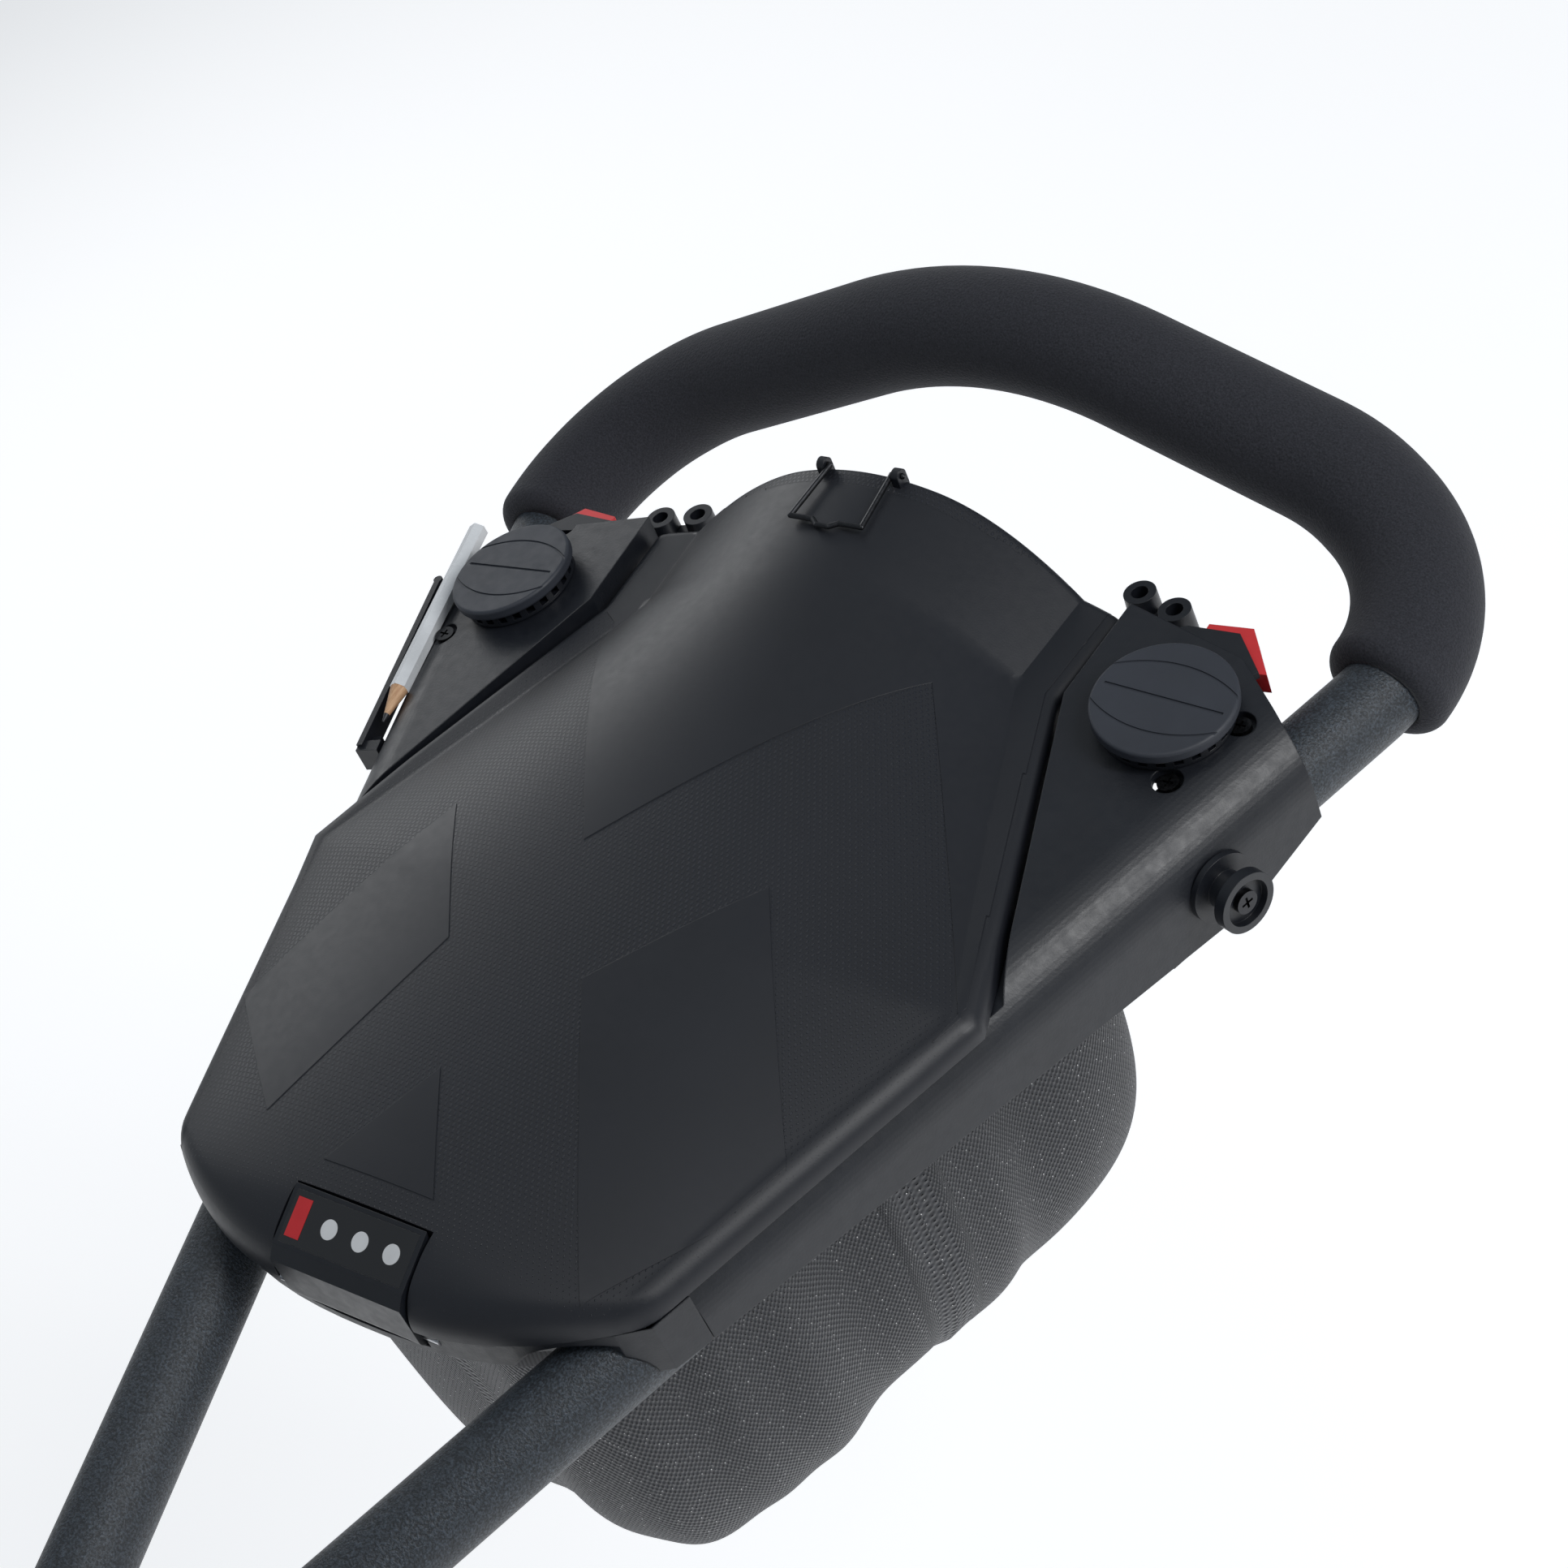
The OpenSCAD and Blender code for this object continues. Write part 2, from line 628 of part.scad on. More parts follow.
// Right half of the tub's outline, moved inwards by inset
function tub_half(inset) = [
    [0, lid_front + 14 + inset],
    [40 - inset / 2, lid_front + 15 + inset],
    row([-tub_offset - inset, 245 + inset]),
    row([-tub_offset - inset, 430 - inset]),
    lid_kink - [0.8 + inset, 0],
    [lid_rear_corner.x - 2.5 - inset, tub_rear_y - 5 - inset],
    [60, tub_rear_y - 1 - inset],
    [0, tub_rear_y - inset]
];
function both_halves(half) = concat(half, [for (k = [len(half) - 2 : -1 : 1]) [-half[k].x, half[k].y]]);

module tub_prism(inset, z0, z1) {
    translate([0, 0, z0]) linear_extrude(z1 - z0) polygon(both_halves(tub_half(inset)));
}

tray_screw_y = [290, 400];
tray_screw_x = -11;
bridge_screw_y = 259;

module tray() {
    arch_steps = 24;
    arch_w = 78;
    arch = [for (k = [0 : arch_steps]) let (x = arch_w * (2 * k / arch_steps - 1))
        [x, flange_z - 5.5 + (crest_rear_z - flange_z - 4) * (1 - pow(x / 82, 2))]];
    color(charcoal)
    difference() {
        union() {
            difference() {
                tub_prism(0, tray_floor_z, tub_top_z);
                tub_prism(tray_wall, tray_floor_z + tray_wall, far);
            }
            translate([0, tub_rear_y - 1.2, 0]) rotate([90, 0, 0])
                linear_extrude(tray_wall) polygon(concat([[arch_w, 0], [-arch_w, 0]], arch));
            // ball seats, low rings that stop the golf balls from rolling
            for (x = [-44, 0, 44]) translate([x, 490, tray_floor_z + tray_wall - 1])
                difference() {
                    cylinder(r = 17, h = 6);
                    cylinder(r = 14.5, h = 20, center = true);
                }
            on_both_sides() {
                in_leg_frame() translate([-tub_offset - 1, bridge_screw_y - 8, flange_under_z])
                    cube([tub_offset - 4, tray_screw_y[1] - bridge_screw_y + 20, ledge_under_z - flange_under_z]);
                hinge_bar(knuckle_r, tray_knuckle_x, tray_knuckle_x + knuckle_w);
                translate([tray_knuckle_x, tub_rear_y - 3, hinge_z - knuckle_r])
                    cube([knuckle_w, hinge_y - tub_rear_y + 3, 2 * knuckle_r]);
            }
        }
        on_both_sides() {
            hinge_bar(pin_r, tray_knuckle_x - 1, tray_knuckle_x + knuckle_w + 1);
            for (y = concat(tray_screw_y, [bridge_screw_y]))
                in_leg_frame() translate([tray_screw_x, y, 0]) cylinder(r = 1.5, h = 40);
        }
        bag_screw_places() cylinder(r = 1.5, h = 20, center = true);
    }
}

// ---------------------------------------------------------------- wings
shoulder_x = side_offset - shoulder_r;
shoulder_z = 7;
wing_rear = [[side_offset + 1.6, 526.8], [5.2, 531.5], [-23, 543.2], [-37, 541.8]];
wing_rear_in = row([-71, 538.4]);

// Cross-section of a wing seen along the leg, inset is the distance inside the skin
module wing_section(inset) {
    r = shoulder_r - inset;
    inboard = -130;
    arc = [for (a = [0 : 5 : 90 - wing_tilt]) a];
    arc_end = 90 - wing_tilt;
    round = [for (a = concat(arc, [arc_end])) [shoulder_x + r * cos(a), shoulder_z + r * sin(a)]];
    top = round[len(round) - 1];
    polygon(concat(
        [[inboard, top.y + (top.x - inboard) * tan(wing_tilt)], [inboard, -40], [side_offset - inset, -40]],
        round));
}

module wing_extrusion(inset) {
    in_leg_frame() translate([0, 640, 0]) rotate([90, 0, 0]) linear_extrude(500) wing_section(inset);
}

// Plan of the part of a wing that stands beside the lid
module upper_plan(inset, z0, z1) {
    edge = [lid_gap + inset, 0];
    translate([0, 0, z0]) linear_extrude(z1 - z0) polygon(concat(
        [wing_rear_in + edge - [lid_gap - 1.5, inset], lid_kink + edge, lid_side_corner + edge + [0, -2 + 2.2 * inset],
         row([side_offset + 30, 391])],
        [row([side_offset + 30, 526.8 - inset])],
        [for (p = wing_rear) row(p) - [0, inset]]));
}

// Point on a line beside the right leg, at a given Y of the row frame
function beside_leg(offset, y) = [y * tan(splay_angle) + offset / cos(splay_angle), y];

// Plan of the ledge of a wing that runs forward under the lid
module ledge_plan(inset, z0, z1) {
    inner = -tub_offset + snug - inset;
    translate([0, 0, z0]) linear_extrude(z1 - z0) polygon([
        beside_leg(inner, seam_y), beside_leg(side_offset + 30, seam_y),
        beside_leg(side_offset + 30, 420), beside_leg(inner, 410)
    ]);
}

// Everything below the sloping lower edge of the wing's outer wall
module below_wing() {
    low = [[seam_y - 20, 1], [463, -14.6], [496, -4], [570, 2]];
    translate([-far, 0, 0]) rotate([90, 0, 90]) linear_extrude(2 * far)
        polygon(concat(low, [[570, -60], [seam_y - 20, -60]]));
}

// Caps stand square to the sloping wing tops
cap_place = [137.6, 492.5, 31];
module at_cap() {
    translate(cap_place) rotate([1.26, 5.53, 0]) children();
}

ring_spigot_r = 19.5;
ring_spigot_h = 9;
screw_recess_r = 5.2;
screw_shank_r = 1.6;
screw_seat_z = 24.3;
right_screws = [[160.3, 497.6], [149.2, 469.4]];
left_screws = [[156.4, 465.2]];
left_blind_hole = [139.6, 524.3];   // a recess without a screw, above the release button
function wing_screw_places(side) = side > 0 ? right_screws : left_screws;

saddle_y = [461, 489];
saddle_in = -25.5;
saddle_out = 14.9;
saddle_top_z = screw_seat_z - 3;
clamp_bolt = [[-20.5, 466], [-20.5, 482]];
clamp_low_z = -tube_r - 2.5;

spool_place = [side_offset, 484, 3.5];

module wing(side) {
    color(charcoal)
    on_side(side)
        difference() {
            intersection() {
                wing_extrusion(0);
                union() {
                    upper_plan(0, -40, 80);
                    ledge_plan(0, -40, ledge_top_z);
                }
            }
            intersection() {
                wing_extrusion(wing_wall);
                union() {
                    upper_plan(wing_wall, -60, 80);
                    ledge_plan(2, -60, ledge_under_z);
                }
            }
            // the two hollows meet under the step beside the lid
            intersection() {
                wing_extrusion(wing_wall);
                ledge_plan(2, -60, ledge_under_z);
            }
            below_wing();
            along_leg(tube_r + 0.6, 100, 700);
            at_cap() cylinder(r = ring_spigot_r + snug, h = 60, center = true);
            for (p = wing_screw_places(side)) translate(p) {
                translate([0, 0, screw_seat_z + 2.2]) cylinder(r = screw_recess_r, h = 40);
                cylinder(r = screw_shank_r, h = 60);
            }
            if (side < 0) translate(left_blind_hole) translate([0, 0, housing_z[1] + 0.2]) cylinder(r = screw_recess_r, h = 40);
            for (y = tray_screw_y) in_leg_frame() translate([tray_screw_x, y, 0]) {
                cylinder(r = 1.8, h = 60);
                translate([0, 0, ledge_top_z - 1.9]) cylinder(r = 3.2, h = 10);
            }
            button_body(snug, 0);
            if (side > 0) at_spool() translate([0, 0, -8]) cylinder(r = 2.6, h = 16);
        }
}

module left_wing() { wing(-1); }
module right_wing() { wing(1); }

// Upper half of the clamp, inside the wing
module saddle(side) {
    color(charcoal)
    on_side(side)
        difference() {
            intersection() {
                in_leg_frame() translate([saddle_in, saddle_y[0], 0.5])
                    cube([saddle_out - saddle_in, saddle_y[1] - saddle_y[0], 30]);
                wing_extrusion(wing_wall + snug);
                cube([far, far * 2, saddle_top_z]);
            }
            along_leg(tube_r, 100, 700);
            at_cap() translate([0, 0, -ring_spigot_h - 1.2]) cylinder(r = ring_spigot_r + 1, h = 60);
            in_leg_frame() for (p = clamp_bolt) translate(p) cylinder(r = 1.9, h = 60, center = true);
            if (side > 0) at_spool() cylinder(r = 2.6, h = 60, center = true);
        }
}

module left_saddle() { saddle(-1); }
module right_saddle() { saddle(1); }

// Lower half of the clamp, bolted to the saddle from below
module clamp(side) {
    color(black)
    on_side(side)
        difference() {
            in_leg_frame() translate([saddle_in, saddle_y[0], clamp_low_z])
                cube([saddle_out - saddle_in, saddle_y[1] - saddle_y[0], -clamp_low_z]);
            along_leg(tube_r, 100, 700);
            in_leg_frame() for (p = clamp_bolt) translate(p) {
                cylinder(r = 2.3, h = 60, center = true);
                translate([0, 0, clamp_low_z - 1]) cylinder(r = 4, h = 5);
            }
            if (side > 0) at_spool() cylinder(r = 2.6, h = 60, center = true);
        }
}

module left_clamp() { clamp(-1); }
module right_clamp() { clamp(1); }

// A pan-head screw whose head sits above z = 0 and whose shank runs down
module pan_screw(head_r, shank_r, length) {
    difference() {
        cylinder(r = head_r, h = head_r * 0.55);
        for (a = [0, 90]) rotate([0, 0, a])
            translate([-head_r * 0.55, -head_r * 0.11, head_r * 0.25]) cube([head_r * 1.1, head_r * 0.22, head_r]);
    }
    translate([0, 0, -length]) cylinder(r = shank_r, h = length + 0.1);
}

module clamp_screws() {
    color(steel)
    on_both_sides() in_leg_frame() for (p = clamp_bolt)
        translate([p.x, p.y, clamp_low_z + 4]) rotate([180, 0, 0]) pan_screw(3.6, 1.9, 26);
}

module wing_screws() {
    color(steel)
    for (side = [-1, 1]) on_side(side) for (p = wing_screw_places(side))
        translate([p.x, p.y, screw_seat_z + 2.2]) pan_screw(3.6, screw_shank_r, 5.5);
}

module tray_screws() {
    color(steel)
    on_both_sides() in_leg_frame() for (y = tray_screw_y)
        translate([tray_screw_x, y, ledge_top_z - 1.9]) pan_screw(3, 1.5, 6);
}

// ---------------------------------------------------------------- front bridge
bridge_low_z = 8.5;
bridge_t = 8;
bridge_steps = 20;
function bridge_point(u, inset) =
    let (half = lid_front_corner.x - inset * 0.6)
    [u * half, lid_front + 0.6 + inset + front_sweep * pow(abs(u) * half / lid_front_corner.x, 2.5)];

module bridge_plan(inset) {
    us = [for (k = [0 : bridge_steps]) 2 * k / bridge_steps - 1];
    polygon(concat(
        [for (u = us) bridge_point(u, inset)],
        [beside_leg(side_offset - inset * 0.4, seam_y - 0.3), [-beside_leg(side_offset - inset * 0.4, seam_y).x, seam_y - 0.3]]));
}

module front_bridge() {
    centre_w = 59;
    pin_block = latch_w / 2 + latch_gap;
    color(charcoal)
    difference() {
        intersection() {
            translate([0, 0, -3]) linear_extrude(ledge_top_z + 3) bridge_plan(0);
            translate([-far / 2, lid_front - 5, -20]) cube([far, seam_y - lid_front + 5, 60]);
        }
        // room behind the front wall for the tub
        tub_prism(-0.3, -40, 60);
        translate([0, 0, -10]) linear_extrude(ledge_under_z + 10) intersection() {
            bridge_plan(bridge_t);
            translate([-far / 2, lid_front + bridge_t]) square([far, 60]);
        }
        translate([-centre_w, 0, -40]) cube([2 * centre_w, far, 40 + bridge_low_z]);
        below_wing();
        on_both_sides() {
            along_leg(tube_r + 0.6, 100, 400);
            intersection() {
                along_leg(tube_r + 4.5, 100, 400);
                translate([0, 0, -30]) cube([lid_front_corner.x - 3, lid_front + 22, 60]);
            }
        }
        // notch for the latch tab, with the pin through both of its sides
        translate([-pin_block, 0, latch_z - latch_knuckle_r - body_gap]) cube([2 * pin_block, lid_front + bridge_t, 40]);
        latch_bar(latch_pin_r + snug, -pin_block - 5, pin_block + 5);
        on_both_sides() in_leg_frame() translate([tray_screw_x, bridge_screw_y, ledge_top_z - 1.9]) cylinder(r = 3.2, h = 10);
        // finger slot beside the latch
        translate([31, 0, ledge_top_z - 2.6]) cube([33, lid_front + 7, 10]);
        on_both_sides() in_leg_frame() translate([tray_screw_x, bridge_screw_y, 0]) cylinder(r = 1.8, h = 60, center = true);
    }
}

module bridge_screws() {
    color(steel)
    on_both_sides() in_leg_frame() translate([tray_screw_x, bridge_screw_y, ledge_top_z - 1.9]) pan_screw(3, 1.5, 6);
}

// ---------------------------------------------------------------- accessory caps
disc_z = ring_h + 0.3;
stem_r = ring_bore_r - 0.1;
lug_w = 8;
lug_r = ring_bore_r + 2.2;

module cap(side) {
    stem_low = -ring_spigot_h - 3;
    color(black)
    on_side(side) at_cap()
        difference() {
            union() {
                translate([0, 0, disc_z]) rotate_extrude() {
                    square([cap_d / 2 - 1.2, cap_t]);
                    translate([0, 1.2]) square([cap_d / 2, cap_t - 2.4]);
                    for (z = [1.2, cap_t - 1.2]) translate([cap_d / 2 - 1.2, z]) circle(1.2);
                }
                translate([0, 0, stem_low]) cylinder(r = stem_r, h = disc_z - stem_low + 0.5);
                translate([-lug_r, -lug_w / 2, stem_low]) cube([2 * lug_r, lug_w, 2.2]);
            }
            translate([0, 0, stem_low - 1]) cylinder(r = stem_r - 2.5, h = disc_z - stem_low);
            // moulded line and two arcs on the face
            translate([-cap_d / 2 + 3, -0.5, disc_z + cap_t - 0.5]) cube([cap_d - 6, 1, 2]);
            for (a = [0, 180]) rotate([0, 0, a])
                translate([0, -cap_d * 0.55, disc_z + cap_t - 0.4]) rotate([0, 0, 48])
                    rotate_extrude(angle = 84) translate([cap_d * 0.84, 0]) square([0.8, 2]);
        }
}

module left_cap() { cap(-1); }
module right_cap() { cap(1); }

module cap_ring(side) {
    tooth_in = 18;
    ring_seat = 0.4;    // the ring stands this far off the wing's slightly uneven slope
    color(charcoal)
    on_side(side) at_cap()
        difference() {
            union() {
                translate([0, 0, ring_seat]) cylinder(r = 22, h = ring_h - ring_seat);
                translate([0, 0, -ring_spigot_h]) cylinder(r = ring_spigot_r, h = ring_spigot_h + 1);
            }
            cylinder(r = ring_bore_r, h = far, center = true);
            // slots that let the cap's lugs through, a quarter turn from where they rest
            cube([lug_w + 1, 2 * lug_r + 0.8, far], center = true);
            for (k = [0 : ring_teeth - 1]) rotate([0, 0, 360 * (k + 0.5) / ring_teeth])
                translate([tooth_in, -1.5, 1.6]) cube([10, 3, 10]);
        }
}

module left_cap_ring() { cap_ring(-1); }
module right_cap_ring() { cap_ring(1); }

// ---------------------------------------------------------------- tee holders
tee_tops = [[110.7, 544.6, 24], [95.3, 548.8, 24.7]];
tee_wall = 2.7;

module tee_holder(side) {
    height = tee_hole_depth + 5;
    color(black)
    on_side(side)
        difference() {
            union() {
                for (p = tee_tops) translate([p.x, p.y, p.z - height])
                    cylinder(r1 = tee_hole_d / 2 + tee_wall + 1, r2 = tee_hole_d / 2 + tee_wall, h = height);
                hull() for (p = tee_tops) translate([p.x, p.y, tee_tops[0].z - height + 2]) cylinder(r = 2, h = height - 8);
                translate([104.5, 533, 0]) cube([8, 12, 16]);
            }
            for (p = tee_tops) translate([p.x, p.y, p.z - tee_hole_depth]) cylinder(d = tee_hole_d, h = 60);
            upper_plan(-snug, -40, 80);
        }
}

module left_tee_holder() { tee_holder(-1); }
module right_tee_holder() { tee_holder(1); }

// ---------------------------------------------------------------- release buttons
button_z = [18.6, 26.6];
housing_z = [8, 27.4];
housing_plan = [[119, 512], [119, 531.2], [123, 533.6], [142, 534.2], [156, 519.5], [150, 512]];

// Closed outer block of the housing, grown by clear; extra_top lifts its top
module button_body(clear, extra_top) {
    translate([0, 0, housing_z[0] - clear]) linear_extrude(housing_z[1] - housing_z[0] + 2 * clear + extra_top)
        polygon([for (p = housing_plan) p + clear * [sign(p.x - 135), sign(p.y - 520)]]);
}

module button_housing(side) {
    roof_z = 29.6;
    color(black)
    on_side(side)
        difference() {
            union() {
                button_body(0, 0);
                difference() {
                    button_body(0, roof_z - housing_z[1]);
                    upper_plan(-snug, 0, 80);
                }
            }
            // pocket, open to the rear and to the outer side
            translate([0, 0, button_z[0] - body_gap]) linear_extrude(button_z[1] - button_z[0] + 2 * body_gap)
                polygon([[126, 514.5], [126, 560], [190, 560], [190, 514.5]]);
            along_leg(tube_r + 2, 100, 700);
            at_cap() cylinder(r = ring_spigot_r + 1, h = 60, center = true);
        }
}

module left_button_housing() { button_housing(-1); }
module right_button_housing() { button_housing(1); }

button_spring_r = 2.4;
spring_place = [138, 522.5, (button_z[0] + button_z[1]) / 2];

module release_button(side) {
    color(red)
    on_side(side)
        difference() {
            translate([0, 0, button_z[0]]) linear_extrude(button_z[1] - button_z[0])
                polygon([[127.6, 521], [127.6, 538.6], [143.4, 540], [157.2, 521.6], [152, 521]]);
            translate(spring_place) rotate([-90, 0, 0]) translate([0, 0, -5]) cylinder(r = button_spring_r + 0.2, h = 11);
        }
}

module left_release_button() { release_button(-1); }
module right_release_button() { release_button(1); }

module button_spring(side) {
    wire_r = 0.4;
    coils = 6;
    color(steel)
    on_side(side)
        for (k = [0 : coils - 1]) translate(spring_place + [0, k * 2 * wire_r, 0]) rotate([-90, 0, 0])
            rotate_extrude() translate([button_spring_r - wire_r, 0]) circle(wire_r * 1.03, $fn = 16);
}

module left_button_spring() { button_spring(-1); }
module right_button_spring() { button_spring(1); }

// ---------------------------------------------------------------- pencil
pencil_tip_place = [-154.2, 421.8, 25.2];
pencil_dir = unit([-21.2, 91.9, 7.2]);
lead_l = 3.5;
cone_l = 12;

module on_pencil(from) {
    translate(pencil_tip_place + pencil_dir * from)
        rotate([0, acos(pencil_dir.z), atan2(pencil_dir.y, pencil_dir.x)]) children();
}

module pencil_lead() {
    color(charcoal) on_pencil(0) cylinder(r1 = 0.4, r2 = 1.1, h = lead_l, $fn = 24);
}

module pencil_tip() {
    color("burlywood") on_pencil(lead_l) cylinder(r1 = 1.1, r2 = pencil_d / 2 - 0.4, h = cone_l, $fn = 24);
}

module pencil_barrel() {
    color("white") on_pencil(lead_l + cone_l) cylinder(d = pencil_d, h = pencil_l, $fn = 6);
}

// Thin fin outside the left wing, closed around the pencil's tip
module pencil_holder() {
    fin_t = 2.4;
    fin_x = side_offset + 2.4;
    color(black)
    on_side(-1)
        difference() {
            in_leg_frame() union() {
                translate([fin_x, 440, 14]) cube([fin_t, 88, 9]);
                for (y = [440, 520]) translate([side_offset - 1, y, 14]) cube([fin_x - side_offset + 2, 8, 5]);
                translate([14, 438, 12]) cube([fin_x - 14 + fin_t, 5, 10]);
                translate([fin_x + fin_t / 2, 528, 14]) cylinder(r = fin_t * 0.75, h = 9);
            }
            wing_extrusion(-snug);
        }
}

// ---------------------------------------------------------------- accessory spool
module at_spool() {
    in_leg_frame() translate(spool_place) rotate([0, 90, 0]) children();
}

module accessory_spool() {
    outer_t = 4;
    reach = 13;
    color(black)
    at_spool()
        difference() {
            union() {
                translate([0, 0, snug]) cylinder(d = spool_d + 3, h = 2.2);
                cylinder(d = spool_d * 0.62, h = reach);
                translate([0, 0, reach - outer_t]) cylinder(d = spool_d, h = outer_t);
                translate([0, 0, -1]) cylinder(r = 2.5, h = 2);
            }
            translate([0, 0, reach - 2.6]) cylinder(d = spool_d - 5, h = 20);
            cylinder(r = 2.1, h = far, center = true);
        }
}

module spool_screw() {
    color(steel) at_spool() translate([0, 0, 10.4]) pan_screw(4, 2, 13);
}

// ---------------------------------------------------------------- net bag
bag_centre_y = 353;
bag_half_l = 122;
frame_t = 3;
frame_w = 8;
bag_top_z = tray_floor_z - frame_t;
bag_squareness = 6;
bag_around = 44;
bag_levels = 14;

function bag_point(angle, depth, inset) =
    let (
        c = cos(angle), s = sin(angle),
        cx = sign(c) * pow(abs(c), 2 / bag_squareness),
        sy = sign(s) * pow(abs(s), 2 / bag_squareness),
        half_w = (bag_front_w + bag_rear_w) / 2 + sy * (bag_rear_w - bag_front_w) / 2 - inset,
        closing = pow(1 - pow(min(depth, 0.995), 5), 0.2)
    )
    [half_w * cx * closing, bag_centre_y + (bag_half_l - inset) * sy * closing, bag_top_z - (bag_depth - inset) * depth];

module bag_body(inset) {
    rings = [for (k = [0 : bag_levels]) sin(90 * k / bag_levels)];
    points = [for (d = rings) for (k = [0 : bag_around - 1]) bag_point(360 * k / bag_around, d, inset)];
    n = bag_around;
    sides = [for (j = [0 : bag_levels - 1]) for (k = [0 : n - 1]) let (a = j * n + k, b = j * n + (k + 1) % n)
        each [[a, b, b + n], [a, b + n, a + n]]];
    top = [[for (k = [n - 1 : -1 : 0]) k]];
    bottom = [[for (k = [0 : n - 1]) bag_levels * n + k]];
    polyhedron(points, concat(sides, top, bottom), convexity = 4);
}

module bag_net() {
    mouth_w = 150;
    mouth_h = 46;
    color([0.1, 0.1, 0.11])
    difference() {
        bag_body(0);
        translate([0, 0, 0.01]) bag_body(bag_wall);
        translate([-far / 2, 0, bag_top_z - 0.01]) cube([far, far * 2, 10]);
        // mouth at the rear, for reaching in
        translate([-mouth_w / 2, bag_centre_y + 60, bag_top_z - mouth_h]) cube([mouth_w, 120, mouth_h + 10]);
    }
}

module bag_outline(inset) {
    polygon([for (k = [0 : bag_around - 1]) let (p = bag_point(360 * k / bag_around, 0, inset)) [p.x, p.y]]);
}

module bag_screw_places() {
    for (angle = [0, 180, 245, 295]) {
        p = bag_point(angle, 0, frame_w);
        translate([p.x, p.y, tray_floor_z]) children();
    }
}

module bag_frame() {
    color(black)
    difference() {
        union() {
            translate([0, 0, bag_top_z]) linear_extrude(frame_t) difference() {
                bag_outline(0);
                bag_outline(frame_w);
            }
            bag_screw_places() translate([0, 0, -frame_t]) cylinder(r = 5, h = frame_t);
        }
        bag_screw_places() cylinder(r = 1.8, h = 20, center = true);
    }
}

module bag_screws() {
    color(steel) bag_screw_places() translate([0, 0, -frame_t]) rotate([180, 0, 0]) pan_screw(3, 1.5, 5);
}

handle_tube();
foam_grip();
apex_yoke();
pivot_bushes();
yoke_bolts();
yoke_nuts();
tray();
front_bridge();
bridge_screws();
left_wing();
right_wing();
left_saddle();
right_saddle();
left_clamp();
right_clamp();
clamp_screws();
wing_screws();
tray_screws();
lid();
lid_hinge_leaf();
lid_hinge_pins();
lid_catch();
clip_hooks();
scorecard_clip();
latch_tab();
latch_pin();
latch_spring();
badge_plate();
badge_stripe();
badge_dots();
left_cap();
right_cap();
left_cap_ring();
right_cap_ring();
left_tee_holder();
right_tee_holder();
left_button_housing();
right_button_housing();
left_release_button();
right_release_button();
left_button_spring();
right_button_spring();
pencil_holder();
pencil_barrel();
pencil_tip();
pencil_lead();
accessory_spool();
spool_screw();
bag_frame();
bag_net();
bag_screws();
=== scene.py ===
"""Looks of a golf push cart's handle section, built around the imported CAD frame."""
import math

import bmesh
import bpy
import numpy as np
from mathutils import Matrix, Vector


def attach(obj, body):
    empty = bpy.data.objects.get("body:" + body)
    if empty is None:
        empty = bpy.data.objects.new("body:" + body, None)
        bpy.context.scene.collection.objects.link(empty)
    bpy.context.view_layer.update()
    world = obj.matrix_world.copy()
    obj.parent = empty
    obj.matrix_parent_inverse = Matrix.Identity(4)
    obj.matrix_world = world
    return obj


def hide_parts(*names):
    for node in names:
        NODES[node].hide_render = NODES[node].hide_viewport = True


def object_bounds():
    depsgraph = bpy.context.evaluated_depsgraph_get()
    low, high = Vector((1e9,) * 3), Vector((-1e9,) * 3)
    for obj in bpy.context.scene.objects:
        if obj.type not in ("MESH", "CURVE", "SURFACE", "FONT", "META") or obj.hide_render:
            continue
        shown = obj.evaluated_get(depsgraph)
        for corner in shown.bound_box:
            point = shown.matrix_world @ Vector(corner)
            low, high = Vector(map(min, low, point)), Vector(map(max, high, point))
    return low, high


MM = 0.001
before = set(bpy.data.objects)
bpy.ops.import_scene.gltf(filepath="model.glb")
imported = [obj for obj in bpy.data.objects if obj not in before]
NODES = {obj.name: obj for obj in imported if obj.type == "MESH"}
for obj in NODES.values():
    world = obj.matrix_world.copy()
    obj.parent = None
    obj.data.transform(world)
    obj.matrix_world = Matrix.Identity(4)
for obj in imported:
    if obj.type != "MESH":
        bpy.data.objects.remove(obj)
cad_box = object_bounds()


# ------------------------------------------------------------------ camera
CAMERA_PLACE = Vector((0.583117, -0.030976, 0.660273))
CAMERA_RIGHT = Vector((0.7912, 0.5230, -0.31698))
CAMERA_UP = Vector((-0.18971, 0.70264, 0.68580))
CAMERA_BACK = Vector((0.58139, -0.48247, 0.65514))
LENS_MM = 67.39

camera_data = bpy.data.cameras.new("Camera")
camera_data.lens = LENS_MM
camera_data.sensor_width = 36
camera = bpy.data.objects.new("Camera", camera_data)
bpy.context.scene.collection.objects.link(camera)
turn = Matrix((CAMERA_RIGHT, CAMERA_UP, CAMERA_BACK)).transposed()
camera.matrix_world = Matrix.Translation(CAMERA_PLACE) @ turn.to_quaternion().to_matrix().to_4x4()
bpy.context.scene.camera = camera


